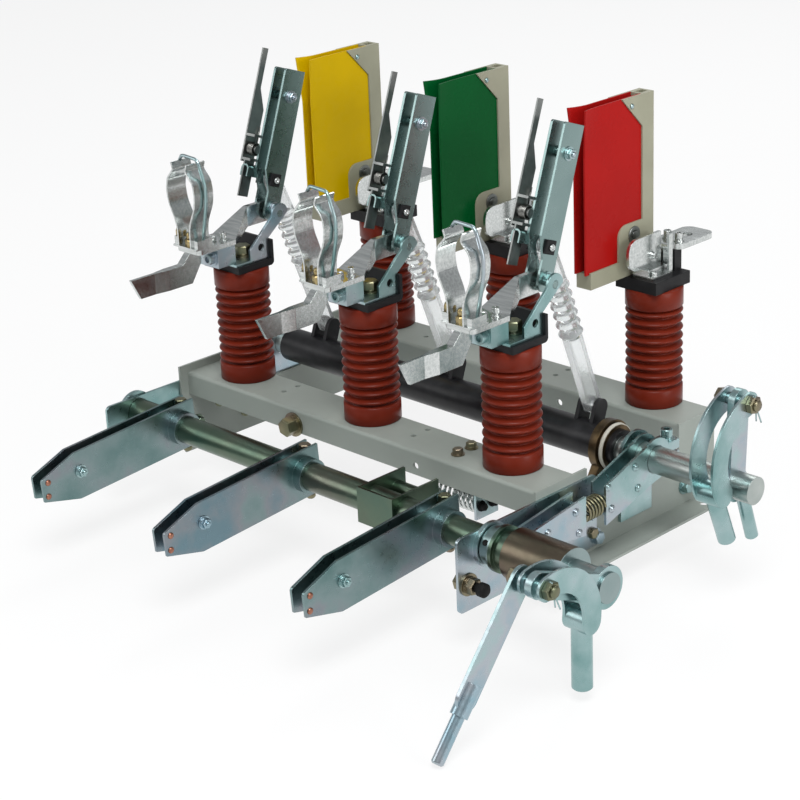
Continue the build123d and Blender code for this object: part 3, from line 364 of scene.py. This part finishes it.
# Hinge brackets: folded zinc angles on the pads, each with a channel under its terminal.
# A hex bolt holds the bracket on the post, and a socket screw draws the channel tight.
def socket_screw(form, base, axis, radius, height):
    """Adds a cap screw with a round socket, on a washer."""
    washer, rim, edge = 1.2, radius * 1.35, 0.6
    turned(form, [(0, 0), (rim, 0), (rim, washer), (0, washer)], base, axis, 28, False)
    top = washer + height
    socket_r, socket_floor = radius * 0.55, top - height * 0.55
    cap = [(0, washer), (radius, washer), (radius, top - edge), (radius - edge, top)]
    cap += [(socket_r, top), (socket_r, socket_floor), (0, socket_floor)]
    turned(form, cap, base, axis, 24, False)


dress(zinc, "hinge_brackets")
front_row, rear_row = -109.25, 126.75
bracket_bolt_size, bracket_base, bracket_bolt_back = (17, 9), 247.0, 4
channel_screw_size, channel_screw_out, channel_screw_z = (6.5, 7), 8, 258
channel_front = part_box("hinge_brackets")[0].y / mm
bracket_bolts = bmesh.new()
for x in pole_xs:
    base = spot(x, front_row + bracket_bolt_back, bracket_base)
    hex_head(bracket_bolts, base, (0, 0, 1), *bracket_bolt_size)
add_piece("bracket_bolts", bracket_bolts, gold, "frame")
channel_screws = bmesh.new()
for x in pole_xs:
    base = spot(x + channel_screw_out, channel_front, channel_screw_z)
    socket_screw(channel_screws, base, (0, -1, 0), *channel_screw_size)
add_piece("channel_screws", channel_screws, zinc, "frame")

# Terminals and earth contacts: copper bars, tinned bright, the earth contacts pointing forward below.
# The tin lies in soft streaks along the bar, and small screws hold the bars together.
tin, place = new_finish("bright_tin", Metallic=1.0)
streak = place.stretch(1, 12, 12).noise(30, 4)
feed(
    tin,
    Base_Color=streak.ramp([(0.3, (0.50, 0.53, 0.52)), (0.7, (0.70, 0.72, 0.71))]),
    Roughness=0.14 + place.noise(80, 4) * 0.18,
    Normal=streak.bump(0.00008, 0.25),
)
dress(tin, "front_terminals", "earth_contacts")
terminal_top, button_ahead = 276.0, 42
terminal_screw_size, terminal_screw_out, terminal_screw_ahead = (4, 8), 9, 31
button_head = [(0, 0), (6.5, 0), (6.5, 3), (5, 5), (0, 5.4)]
terminal_screws = bmesh.new()
for x in pole_xs:
    base = spot(x + terminal_screw_out, front_row - terminal_screw_ahead, terminal_top)
    socket_screw(terminal_screws, base, (0, 0, 1), *terminal_screw_size)
    turned(terminal_screws, button_head, spot(x, front_row - button_ahead, terminal_top), (0, 0, 1))
add_piece("terminal_screws", terminal_screws, tin, "frame")


# Fuse clips: two fingers of tinned spring strip, bent in flats so that they belly out round the cap.
# They stand on one foot, held by brass bolts, and a steel wire bail locks over both lips.
def eased(points, share, steps=4):
    """A polyline with its corners rounded off."""
    out = [points[0]]
    for before, corner, after in zip(points, points[1:], points[2:]):
        start, end = corner.lerp(before, share), corner.lerp(after, share)
        for n in range(steps + 1):
            t = n / steps
            out.append(start.lerp(corner, t).lerp(corner.lerp(end, t), t))
    return out + [points[-1]]


def strip(form, points, half, thick):
    """Adds a bent strip along points, with half its width given as a vector across it."""
    rings = []
    for n, point in enumerate(points):
        ahead = (points[min(n + 1, len(points) - 1)] - points[max(n - 1, 0)]).normalized()
        off = ahead.cross(half).normalized() * thick * mm / 2
        corners = [point + a * off + b * half for a, b in ((1, -1), (1, 1), (-1, 1), (-1, -1))]
        rings.append([form.verts.new(corner) for corner in corners])
    for low, high in zip(rings, rings[1:]):
        for k in range(4):
            form.faces.new((low[k], low[(k + 1) % 4], high[(k + 1) % 4], high[k]))
    form.faces.new(rings[0])
    form.faces.new(reversed(rings[-1]))


def wire(form, points, radius, sides=8):
    """Adds a round wire along points."""
    rings = []
    side = None
    for n, point in enumerate(points):
        ahead = (points[min(n + 1, len(points) - 1)] - points[max(n - 1, 0)]).normalized()
        side = ahead.orthogonal() if side is None else side - ahead * side.dot(ahead)
        side.normalize()
        across = ahead.cross(side)
        ring = []
        for k in range(sides):
            angle = 2 * math.pi * k / sides
            out = side * math.cos(angle) + across * math.sin(angle)
            ring.append(form.verts.new(point + out * radius * mm))
        rings.append(ring)
    for low, high in zip(rings, rings[1:]):
        for k in range(sides):
            form.faces.new((low[k], low[(k + 1) % sides], high[(k + 1) % sides], high[k])).smooth = True
    form.faces.new(rings[0])
    form.faces.new(reversed(rings[-1]))


def bolt_end(form, base, axis, foot, size, steps=24):
    """Adds the end of a bolt past its nut. Its size: radius, straight length, tip radius, whole length."""
    radius, straight, tip, length = size
    end = [(0, foot), (radius, foot), (radius, foot + straight), (tip, foot + length), (0, foot + length)]
    turned(form, end, base, axis, steps)


brass, place = new_finish("brass", Metallic=1.0)
feed(
    brass,
    Base_Color=place.noise(200).ramp([(0.3, (0.36, 0.28, 0.13)), (0.7, (0.50, 0.40, 0.20))]),
    Roughness=0.2 + place.noise(160) * 0.15,
    Normal=place.noise(700).bump(0.00005, 0.3),
)
sides = ("left", "middle", "right")
clip_y, clip_width, clip_thick, bail_r = -176.25, 27.0, 2.0, 2.0
finger_flats = (
    (10.5, 2), (10.5, 22), (13.5, 33), (22.0, 50), (24.2, 65),
    (21.5, 79), (12.5, 88), (10.6, 91), (13.2, 98.5),
)
bail_bends = ((17, 8), (27.5, 55), (28.0, 74), (17.5, 103), (-9, 104.5), (-13.8, 97.5))
jaw_run, jaw_middle, jaw_half, jaw_thick = (11.6, 12.4, 19.2, 20), 6.5, 11, 9
foot_run = (-20, -10, 10, 20)
clip_nut_size, clip_bolt_end, clip_nut_out, clip_nut_ahead = (11, 8), (4.5, 6, 3, 8), 2, 6
rest_nut_out, rest_nut_ahead = 15.5, 4
rest_nut = [(0, 0), (6.5, 0), (6.5, 6), (5.2, 9), (2.5, 10.5), (0, 10.8)]
clip_bolts = bmesh.new()
for side, x in zip(sides, pole_xs):
    fingers = bmesh.new()
    for way in (-1, 1):
        flats = [spot(x + way * out, clip_y, terminal_top + up) for out, up in finger_flats]
        strip(fingers, eased(flats, 0.32), spot(0, clip_width / 2, 0), clip_thick)
        jaw = [spot(x + way * out, clip_y, terminal_top + jaw_middle) for out in jaw_run]
        strip(fingers, jaw, spot(0, jaw_half, 0), jaw_thick)
    foot = [spot(x + out, clip_y, terminal_top + clip_thick / 2) for out in foot_run]
    strip(fingers, foot, spot(0, clip_width / 2, 0), clip_thick)
    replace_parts(add_piece(side + "_clip_fingers", fingers, tin, "frame"), side + "_fuse_clip")
    bail = bmesh.new()
    bends = [spot(x + out, clip_y, terminal_top + up) for out, up in bail_bends]
    wire(bail, eased(bends, 0.2, 6), bail_r, 12)
    add_piece(side + "_bail", bail, zinc, "frame")
    base = spot(x + clip_nut_out, clip_y - clip_nut_ahead, terminal_top + clip_thick)
    top = hex_head(clip_bolts, base, (0, 0, 1), *clip_nut_size, False)
    bolt_end(clip_bolts, base, (0, 0, 1), top, clip_bolt_end)
    base = spot(x - rest_nut_out, clip_y - rest_nut_ahead, terminal_top + jaw_middle + jaw_thick / 2)
    turned(clip_bolts, rest_nut, base, (0, 0, 1))
add_piece("clip_bolts", clip_bolts, brass, "frame")

# Main blades: pairs of copper bars on a hinge, dull silver plated, drawn together by bolts.
# Nuts show on the near bars, round heads on the far ones, and black keepers at the pull pins.
silver, place = new_finish("dull_silver", Metallic=1.0)
feed(
    silver,
    Base_Color=place.noise(12, 3).ramp([(0.3, (0.20, 0.285, 0.28)), (0.7, (0.275, 0.37, 0.36))]),
    Roughness=0.2 + place.noise(80, 4) * 0.16,
    Normal=place.noise(420, 3).bump(0.00006, 0.2),
)
dress(silver, "left_main_blade", "middle_main_blade", "right_main_blade")
hinge_y, hinge_z, blade_angle, bar_face = -65.25, 292.0, math.radians(70), 10.0
blade_bolt_spots, blade_nut_size, blade_bolt_end = ((133, -6.4), (4, 2)), (10, 4), (2.8, 1.5, 2, 2.2)
pull_along, pull_across, pin_seat = 36, -6, 3
keeper_half, keeper_thick, keeper_edge, keeper_taper = 7.5, 3.2, 0.8, 0.88
keeper_corners = ((-1, -1), (1, -1), (1, 1), (-1, 1))
round_head = [(0, 0), (7, 0), (7, 1.5), (5.5, 1.6), (5.2, 4), (3.5, 5.5), (0, 6)]
pin_head = [(0, 0), (3.8, 0), (3.8, 2), (3.2, 3), (1.8, 3), (1.8, 1.5), (0, 1.5)]


def on_blade(x, along, across):
    """A point on a blade: along it from its hinge, and across it towards its back."""
    y = hinge_y + along * math.cos(blade_angle) + across * math.sin(blade_angle)
    z = hinge_z + along * math.sin(blade_angle) - across * math.cos(blade_angle)
    return spot(x, y, z)


for side, x in zip(sides, pole_xs):
    blade_nuts = bmesh.new()
    for along, across in blade_bolt_spots:
        base = on_blade(x + bar_face, along, across)
        top = hex_head(blade_nuts, base, (1, 0, 0), *blade_nut_size)
        bolt_end(blade_nuts, base, (1, 0, 0), top, blade_bolt_end)
        turned(blade_nuts, round_head, on_blade(x - bar_face, along, across), (-1, 0, 0))
    add_piece(side + "_blade_nuts", blade_nuts, zinc, side + "_blade")
    keepers = bmesh.new()
    for way in (-1, 1):
        layers = []
        for depth, grow in ((0, 1), (keeper_thick - keeper_edge, 1), (keeper_thick, keeper_taper)):
            face_x = x + way * (bar_face + depth)
            half = keeper_half * grow
            layers.append([
                keepers.verts.new(on_blade(face_x, pull_along + a * half, pull_across + b * half))
                for a, b in keeper_corners
            ])
        for low, high in zip(layers, layers[1:]):
            for n in range(4):
                keepers.faces.new((low[n], low[(n + 1) % 4], high[(n + 1) % 4], high[n]))
        keepers.faces.new(layers[-1])
        keepers.faces.new(reversed(layers[0]))
    add_piece(side + "_pin_keepers", keepers, moulding, side + "_blade")
    pin_screws = bmesh.new()
    for way in (-1, 1):
        base = on_blade(x + way * (bar_face + pin_seat), pull_along, pull_across)
        turned(pin_screws, pin_head, base, (way, 0, 0), 20)
    add_piece(side + "_pin_screws", pin_screws, tin, side + "_blade")

# Arcing blades: thin strips of dark steel on brackets beside the blades, snapped over by torsion springs.
# The springs are close coils of steel wire on the bracket studs, with one leg on each strip.
# A bent silver strip ties each bracket to its blade.
dark_steel, place = new_finish("dark_steel", Metallic=1.0)
feed(
    dark_steel,
    Base_Color=place.noise(40, 4).ramp([(0.3, (0.17, 0.185, 0.18)), (0.7, (0.31, 0.32, 0.31))]),
    Roughness=0.26 + place.noise(120, 4) * 0.2,
    Normal=place.noise(420, 3).bump(0.00006, 0.3),
)
dress(dark_steel, "left_arcing_blade", "middle_arcing_blade", "right_arcing_blade")
spring_steel, place = new_finish("spring_wire", Metallic=1.0)
feed(
    spring_steel,
    Base_Color=place.noise(300).ramp([(0.3, (0.16, 0.16, 0.15)), (0.7, (0.30, 0.30, 0.28))]),
    Roughness=0.22 + place.noise(200) * 0.15,
    Normal=place.noise(900).bump(0.00004, 0.2),
)
coil_turns, coil_steps, coil_r, coil_wire = 5, 20, 7.0, 0.9
coil_from, coil_run, stud_along, stud_across = 21.5, 8.5, 66.0, -21.5
spring_leg_out, spring_leg, spring_tail_out, spring_tail = 22, 26, 12.5, 24
bend_route = ((21.2, 34), (21.2, 47), (10.9, 47), (10.9, 34))
bend_across, bend_half, bend_thick = -19.5, 11.5, 2.0
for side, x in zip(sides, pole_xs):
    coils = bmesh.new()
    points = [on_blade(x - spring_leg_out, stud_along + spring_leg, stud_across + coil_r)]
    for n in range(coil_turns * coil_steps + 1):
        angle = 2 * math.pi * n / coil_steps
        x_now = x - coil_from + coil_run * n / (coil_turns * coil_steps)
        along, across = coil_r * math.sin(angle), coil_r * math.cos(angle)
        points.append(on_blade(x_now, stud_along + along, stud_across + across))
    points.append(on_blade(x - spring_tail_out, stud_along - spring_tail, stud_across + coil_r))
    wire(coils, points, coil_wire)
    add_piece(side + "_torsion_spring", coils, spring_steel, side + "_blade")
    bend = bmesh.new()
    points = [on_blade(x - out, along, bend_across) for out, along in bend_route]
    strip(bend, eased(points, 0.45, 6), on_blade(0, 0, bend_half) - on_blade(0, 0, 0), bend_thick)
    add_piece(side + "_arc_bracket_bend", bend, silver, side + "_blade")

# Pull rods: clear moulded rods with ribs round them, pinned between blade and lever.
# The plastic is thick and slightly wavy, so it bends what shows through it.
clear, place = new_finish(
    "clear_rod", Base_Color=(0.90, 0.93, 0.93, 1), Transmission_Weight=0.8, IOR=1.45, Roughness=0.16
)
feed(clear, Normal=place.noise(160, 2).bump(0.0006, 0.4))
dress(clear, "left_pull_rod", "middle_pull_rod", "right_pull_rod")

# Main shaft: a thick black-painted shaft with welded levers and a bare zinc stub at each end.
# Bronze-brown cam plates and a pale ring sit beside the right bearing.
black, place = new_finish("black_paint", Specular_IOR_Level=0.25)
paint_ends = 262 * mm
x_place = place.along(0)
bare = (x_place > paint_ends) + (-1 * x_place > paint_ends)
smear = place.noise(40, 4)
feed(
    black,
    Base_Color=bare.mix(
        smear.ramp([(0.35, (0.008, 0.008, 0.009)), (0.75, (0.024, 0.024, 0.026))]),
        smear.ramp([(0.3, (0.36, 0.41, 0.39)), (0.7, (0.48, 0.52, 0.50))]),
    ),
    Metallic=bare,
    Roughness=0.25 + place.noise(70, 4) * 0.2,
    Normal=place.noise(700, 2).bump(0.0001, 0.2),
)
dress(black, "main_shaft", "main_shaft_levers")
bronze, place = new_finish("brown_bronze", Metallic=0.85)
feed(
    bronze,
    Base_Color=place.noise(60, 4).ramp([(0.3, (0.045, 0.032, 0.020)), (0.7, (0.14, 0.095, 0.045))]),
    Roughness=0.22 + place.noise(90) * 0.2,
    Normal=place.noise(300).bump(0.0001, 0.3),
)
dress(bronze, "main_shaft_cam")
cream, place = new_finish("cream_fibre")
feed(
    cream,
    Base_Color=place.noise(90).ramp([(0.3, (0.46, 0.44, 0.37)), (0.7, (0.55, 0.53, 0.46))]),
    Roughness=0.5 + place.noise(120) * 0.2,
    Normal=place.noise(600).bump(0.0001, 0.3),
)
main_y, main_z = 7.75, 93
ring_x, ring_in, ring_out, ring_crown = 251.0, 23.9, 26.0, 26.6
ring_from, ring_to = -1.2, 3.4
ring_edge = [(ring_in, ring_from), (ring_out, ring_from), (ring_crown, 0)]
ring_edge += [(ring_out, ring_to), (ring_in, ring_to), (ring_in, ring_from)]
pale_ring = bmesh.new()
turned(pale_ring, ring_edge, spot(ring_x, main_y, main_z), (1, 0, 0), 48)
bmesh.ops.remove_doubles(pale_ring, verts=pale_ring.verts, dist=1e-6)
add_piece("pale_ring", pale_ring, cream, "main_shaft")

# Rear contacts and terminals: a tinned tongue, a guard strip and a bent bar on a black base.
# Socket screws clamp the bar, and small screws hold the tongue.
dress(tin, "rear_contacts", "rear_terminals")
rear_bar_top, tongue_foot_top, tongue_screw_z = 280.0, 253, 272
bar_screw_size, bar_screw_out, bar_screw_back = (4.5, 8), 8, 33
foot_screw_size, foot_screw_out, foot_screw_ahead = (3, 4), 14.5, 18
tongue_screw_size, tongue_face, tongue_screw_ahead = (3.5, 4), 2, 6
rear_screws = bmesh.new()
for x in pole_xs:
    for way in (-1, 1):
        base = spot(x + way * bar_screw_out, rear_row + bar_screw_back, rear_bar_top)
        socket_screw(rear_screws, base, (0, 0, 1), *bar_screw_size)
    base = spot(x + foot_screw_out, rear_row - foot_screw_ahead, tongue_foot_top)
    socket_screw(rear_screws, base, (0, 0, 1), *foot_screw_size)
    base = spot(x + tongue_face, rear_row - tongue_screw_ahead, tongue_screw_z)
    socket_screw(rear_screws, base, (1, 0, 0), *tongue_screw_size)
add_piece("rear_screws", rear_screws, tin, "frame")

# Arc chutes: a beige moulded holder that grips two coloured flaps.
# The flaps are glossy sheets that curl open at the top, and washers sit in the holder's lobes.
beige, place = new_finish("beige_moulding")
feed(
    beige,
    Base_Color=place.noise(25, 3).ramp([(0.3, (0.27, 0.265, 0.19)), (0.7, (0.315, 0.31, 0.225))]),
    Roughness=0.42 + place.noise(90) * 0.15,
    Normal=place.noise(1400, 2).bump(0.00006, 0.25),
)
dress(beige, "chute_holders")
flap_colours = ((0.66, 0.43, 0.0), (0.001, 0.092, 0.020), (0.38, 0.008, 0.007))
for side, colour in zip(sides, flap_colours):
    flap, place = new_finish(side + "_flap", Specular_IOR_Level=0.06)
    darker = tuple(c * 0.88 for c in colour)
    feed(
        flap,
        Base_Color=place.noise(14, 3).ramp([(0.3, darker), (0.7, colour)]),
        Roughness=0.22 + place.noise(50) * 0.12,
        Normal=place.noise(300, 2).bump(0.00008, 0.2),
    )
    dress(flap, side + "_chute_flaps")
chute_off, holder_face = 25.0, 10.0
lobe_y, lobe_z, rivet_y, rivet_z = rear_row - 17, 295, rear_row - 20, 438
lobe_washer = [(0, 0), (9.5, 0), (9.5, 1.2), (8.8, 1.6), (5.4, 1.6)]
lobe_washer += [(5.4, 0.6), (4.6, 0.6), (4.6, 2.6), (0, 3)]
rivet = [(0, 0), (3, 0), (2.6, 1), (1.4, 1.6), (0, 1.7)]
lobe_washers = bmesh.new()
chute_rivets = bmesh.new()
for x in pole_xs:
    for way in (-1, 1):
        face_x = x - chute_off + way * holder_face
        turned(lobe_washers, lobe_washer, spot(face_x, lobe_y, lobe_z), (way, 0, 0), 36, False)
        turned(chute_rivets, rivet, spot(face_x, rivet_y, rivet_z), (way, 0, 0), 16)
add_piece("lobe_washers", lobe_washers, dark_steel, "frame")
add_piece("chute_rivets", chute_rivets, zinc, "frame")

# Earthing shaft: an olive-passivated round shaft with clamped blades, collars and a spring fork.
# Its thick sleeve is browned, the collar and the right end are plain zinc, and black screws fix the collar.
olive, place = new_finish("olive_zinc", Metallic=1.0)
x_place = place.along(0)
collar_from, collar_to, sleeve_from, sleeve_to = (x * mm for x in (280.5, 300, 318, 389.5))
browned = (x_place > sleeve_from) - (x_place > sleeve_to)
plain = (x_place > collar_from) - (x_place > collar_to) + (x_place > sleeve_to)
tint = place.noise(11, 2) + place.noise(40, 3) * 0.3 - 0.15
olive_tint = tint.ramp([(0.3, (0.09, 0.15, 0.115)), (0.5, (0.12, 0.165, 0.12)), (0.7, (0.135, 0.145, 0.115))])
brown_tint = tint.ramp([(0.3, (0.10, 0.10, 0.07)), (0.5, (0.15, 0.125, 0.09)), (0.7, (0.14, 0.10, 0.085))])
plain_tint = tint.ramp([(0.3, (0.22, 0.31, 0.31)), (0.7, (0.34, 0.40, 0.40))])
feed(
    olive,
    Base_Color=plain.mix(browned.mix(olive_tint, brown_tint), plain_tint),
    Roughness=0.22 + place.noise(120, 4) * 0.2,
    Normal=place.noise(420, 3).bump(0.00006, 0.3),
)
dress(olive, "earthing_shaft", "spring_lever")
shaft_y, shaft_z, collar_x, collar_face = -224.25, 72.0, 292, 20.8
collar_screw_angles = (60, 150, 240, 330)
clamp_bolt_size, clamp_bolt_back, clamp_bolt_up = (12, 8), 10.5, 19
clamp_nut_back, clamp_nut_down = 15, 28
clamp_nut = [(0, 0), (5.5, 0), (5.5, 6), (4, 8), (0, 8)]
grub_screw = [(0, 0), (3.2, 0), (3.2, 0.8), (1.8, 0.9), (1.8, 0.3), (0, 0.3)]
clamp_bolts = bmesh.new()
for x in pole_xs:
    base = spot(x, shaft_y + clamp_bolt_back, shaft_z + clamp_bolt_up)
    hex_head(clamp_bolts, base, (0, 0, 1), *clamp_bolt_size)
    base = spot(x, shaft_y + clamp_nut_back, shaft_z - clamp_nut_down)
    turned(clamp_bolts, clamp_nut, base, (0, 0, -1), 16)
add_piece("clamp_bolts", clamp_bolts, gold, "earthing_shaft")
collar_screws = bmesh.new()
for angle in collar_screw_angles:
    out = (0, math.cos(math.radians(angle)), math.sin(math.radians(angle)))
    base = spot(collar_x, shaft_y + collar_face * out[1], shaft_z + collar_face * out[2])
    turned(collar_screws, grub_screw, base, out, 16)
add_piece("collar_screws", collar_screws, rubber, "earthing_shaft")

# Earthing blades: pairs of zinc-plated steel plates with copper contact rivets at their tips.
# A nutted bolt draws the two plates together.
dull_zinc = zinc_finish("dull_zinc", 0.6)
dress(dull_zinc, "left_earthing_blade", "middle_earthing_blade", "right_earthing_blade")
copper, place = new_finish("copper", Metallic=1.0)
feed(
    copper,
    Base_Color=place.noise(300).ramp([(0.3, (0.30, 0.12, 0.08)), (0.7, (0.46, 0.22, 0.15))]),
    Roughness=0.3 + place.noise(200) * 0.15,
    Normal=place.noise(900).bump(0.00005, 0.3),
)
plate_tilt, plate_face = math.radians(4), 10
tip_along, tip_across, bolt_along, bolt_across = 190, 8, 145, 4
draw_bolt_size, draw_bolt_end = (10, 4.5), (2.8, 1.5, 2, 2)
tip_rivet = [(0, 0), (3.6, 0), (3.4, 0.8), (2, 1.4), (0, 1.6)]
tip_rivets = bmesh.new()
blade_bolts = bmesh.new()


def on_plate(x, along, across):
    """A point on an earthing blade: along it from the shaft, and up across it."""
    y = shaft_y - along * math.cos(plate_tilt) + across * math.sin(plate_tilt)
    z = shaft_z - along * math.sin(plate_tilt) + across * math.cos(plate_tilt)
    return spot(x, y, z)


for x in pole_xs:
    for way in (-1, 1):
        face_x = x + way * plate_face
        for across in (tip_across, -tip_across):
            turned(tip_rivets, tip_rivet, on_plate(face_x, tip_along, across), (way, 0, 0), 20)
        base = on_plate(face_x, bolt_along, bolt_across)
        top = hex_head(blade_bolts, base, (way, 0, 0), *draw_bolt_size)
        bolt_end(blade_bolts, base, (way, 0, 0), top, draw_bolt_end, 16)
add_piece("tip_rivets", tip_rivets, copper, "earthing_shaft")
add_piece("blade_bolts", blade_bolts, zinc, "earthing_shaft")

# Cranks and links: zinc-plated plates and rods outside the right end plate, for the drives.
# Each pin is a yellow hex bolt with a nut and a split pin, and the rods are welded on.
dress(zinc, "rear_crank", "rear_link", "front_crank", "front_link", "front_flat_link")
crank_pin_head, crank_pin_nut, crank_pin_end = (17, 9.5), (17, 7), (6.2, 2, 5, 3)
leg_steps, leg_r, leg_spread, leg_straight = 12, 0.8, 5, 0.55
leg_out, leg_ahead, leg_back, leg_up, leg_drop = 5, 2, 9, 10, 30
for name, body, pin_y, pin_z, far_x, near_x in (
    ("rear_pin_bolt", "main_shaft", 12.5, 183.9, 393.7, 424.3),
    ("front_pin_bolt", "earthing_shaft", -320.95, 110.3, 407.7, 443.3),
):
    pin_bolt = bmesh.new()
    hex_head(pin_bolt, spot(far_x, pin_y, pin_z), (-1, 0, 0), *crank_pin_head, False)
    base = spot(near_x, pin_y, pin_z)
    top = hex_head(pin_bolt, base, (1, 0, 0), *crank_pin_nut, False)
    bolt_end(pin_bolt, base, (1, 0, 0), top, crank_pin_end)
    add_piece(name, pin_bolt, gold, body)
    split_pin = bmesh.new()
    for way in (-1, 1):
        points = []
        for n in range(leg_steps + 1):
            share = n / leg_steps
            spread = way * (leg_r + leg_spread * max(0, share - leg_straight))
            y, z = pin_y + leg_back * share - leg_ahead, pin_z + leg_up - leg_drop * share
            points.append(spot(near_x + leg_out + spread, y, z))
        wire(split_pin, points, leg_r)
    add_piece(name.replace("bolt", "split"), split_pin, zinc, body)

# Threaded stud of the flat link: rolled thread, zinc plated.
# It is the link's lower end, left free.
stud_from, stud_to = spot(410, -405.5, 9.5), spot(410, -440.5, -32.2)
stud_length = (stud_to - stud_from).length / mm
thread_pitch, root_r, crest_r, point_r = 1.5, 6.05, 6.5, 5.2
thread_from, point_edge, point_end = 0.5, 0.5, 0.4
thread = [(0, thread_from)]
for n in range(int(stud_length / thread_pitch) - 1):
    thread += [(root_r, thread_from + n * thread_pitch), (crest_r, thread_from + (n + 0.5) * thread_pitch)]
thread += [(point_r, stud_length - point_edge), (0, stud_length - point_end)]
threads = bmesh.new()
turned(threads, thread, stud_from, stud_to - stud_from, 28)
add_piece("stud_thread", threads, zinc, "flat_link")

# Interlock: two zinc yokes riveted round pins, with a yellow coil spring between them.
# The rear one goes round the main shaft's stub, and a socket screw draws its split ears together.
dress(zinc, "rear_yoke", "front_yoke")
dress(gold, "interlock_spring")
yoke_face = 308.0
clamp_screw, clamp_screw_size = spot(297.5, 38, 105), (6.5, 10)
rivet_spots = ((-72, 88), (-66.5, 62), (-23, 70.7), (-27.3, 95.9), (-123.5, 78), (-118.5, 53), (-167, 70.4))
yoke_rivet = [(0, 0), (4.4, 0), (4.4, 0.8), (3, 0.9), (2.9, 2), (2, 2.6), (0, 2.8)]
yoke_rivets = bmesh.new()
for y, z in rivet_spots:
    turned(yoke_rivets, yoke_rivet, spot(yoke_face, y, z), (1, 0, 0), 20)
socket_screw(yoke_rivets, clamp_screw, (0, 0, 1), *clamp_screw_size)
add_piece("yoke_rivets", yoke_rivets, zinc, "frame")

# Return spring: a coil of bright wire from the hanger under the front beam to the shaft's fork.
# The hanger is a zinc plate with black bolts.
dress(tin, "return_spring")
dress(zinc, "spring_hanger")
hanger_low, hanger_high = (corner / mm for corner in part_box("spring_hanger"))
hanger_bolt_size, hanger_bolt_up = (8, 4), 14
hanger_bolts = bmesh.new()
for share in (0.25, 0.75):
    y = hanger_low.y + (hanger_high.y - hanger_low.y) * share
    base = spot(hanger_high.x, y, hanger_low.z + hanger_bolt_up)
    hex_head(hanger_bolts, base, (1, 0, 0), *hanger_bolt_size)
add_piece("hanger_bolts", hanger_bolts, rubber, "frame")

# Stage: a pale floor under soft studio light, seen from the photograph's angle.
# The floor is near white to the camera and in reflections, and keeps the object's shadow.
low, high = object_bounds()
span, floor_drop, floor_glow = 60.0, 0.001, 0.8
floor_mesh = bpy.data.meshes.new("floor")
corners = [(-span, -span, 0), (span, -span, 0), (span, span, 0), (-span, span, 0)]
floor_mesh.from_pydata(corners, [], [(0, 1, 2, 3)])
floor = bpy.data.objects.new("floor", floor_mesh)
floor.location.z = low[2] - floor_drop
bpy.context.scene.collection.objects.link(floor)
white, place = new_finish("pale_floor", Base_Color=(0.9, 0.9, 0.9, 1), Roughness=0.8)
floor_mesh.materials.append(white)
camera_ray = place.node("ShaderNodeLightPath", {}, {}, "Is Camera Ray")
glossy_ray = place.node("ShaderNodeLightPath", {}, {}, "Is Glossy Ray")
clear_ray = place.node("ShaderNodeLightPath", {}, {}, "Is Transmission Ray")
seen = place.maths("MINIMUM", camera_ray + glossy_ray + clear_ray, 1.0)
glow = place.node("ShaderNodeEmission", {}, {"Color": (1, 1, 1, 1), "Strength": 1.0})
matt = Flow(place.tree, place.tree.nodes["Principled BSDF"].outputs[0])
mixed = place.node("ShaderNodeMixShader", {}, {0: seen * floor_glow, 1: matt, 2: glow})
place.tree.links.new(mixed.socket, place.tree.nodes["Material Output"].inputs["Surface"])

world = bpy.data.worlds.new("studio")
bpy.context.scene.world = world
world.use_nodes = True
sky = world.node_tree.nodes["Background"]
sky.inputs["Color"].default_value = (0.88, 0.9, 0.92, 1)
sky.inputs["Strength"].default_value = 0.45

aim = Vector((0, 0, 0.2))
for name, stand, size, power in (
    ("key", (1.5, -1.3, 3.0), 1.8, 78),
    ("fill", (-1.8, -2.2, 1.5), 1.6, 15),
    ("side", (2.8, 0.2, 1.0), 1.4, 22),
    ("back", (-0.8, 2.3, 2.4), 1.6, 26),
):
    light = bpy.data.lights.new(name, "AREA")
    light.shape = "DISK"
    light.size = size
    light.energy = power
    lamp = bpy.data.objects.new(name, light)
    lamp.location = stand
    lamp.rotation_euler = (aim - Vector(stand)).to_track_quat("-Z", "Y").to_euler()
    bpy.context.scene.collection.objects.link(lamp)

eye = Vector((1.5974, -1.62525, 0.9891))
azimuth, elevation, roll = (math.radians(angle) for angle in (45.70, 21.57, -2.51))
ahead = Vector((
    -math.sin(azimuth) * math.cos(elevation), math.cos(azimuth) * math.cos(elevation), -math.sin(elevation)
))
right = ahead.cross(Vector((0, 0, 1))).normalized()
up = right.cross(ahead)
tilted_right = right * math.cos(roll) + up * math.sin(roll)
tilted_up = up * math.cos(roll) - right * math.sin(roll)
view = bpy.data.cameras.new("photo_view")
view.sensor_width = 36
view.lens = 95.68
camera = bpy.data.objects.new("photo_view", view)
turn = Matrix((tilted_right, tilted_up, -ahead)).transposed().to_4x4()
camera.matrix_world = Matrix.Translation(eye) @ turn
bpy.context.scene.collection.objects.link(camera)
bpy.context.scene.camera = camera
bpy.context.scene.view_settings.view_transform = "Standard"
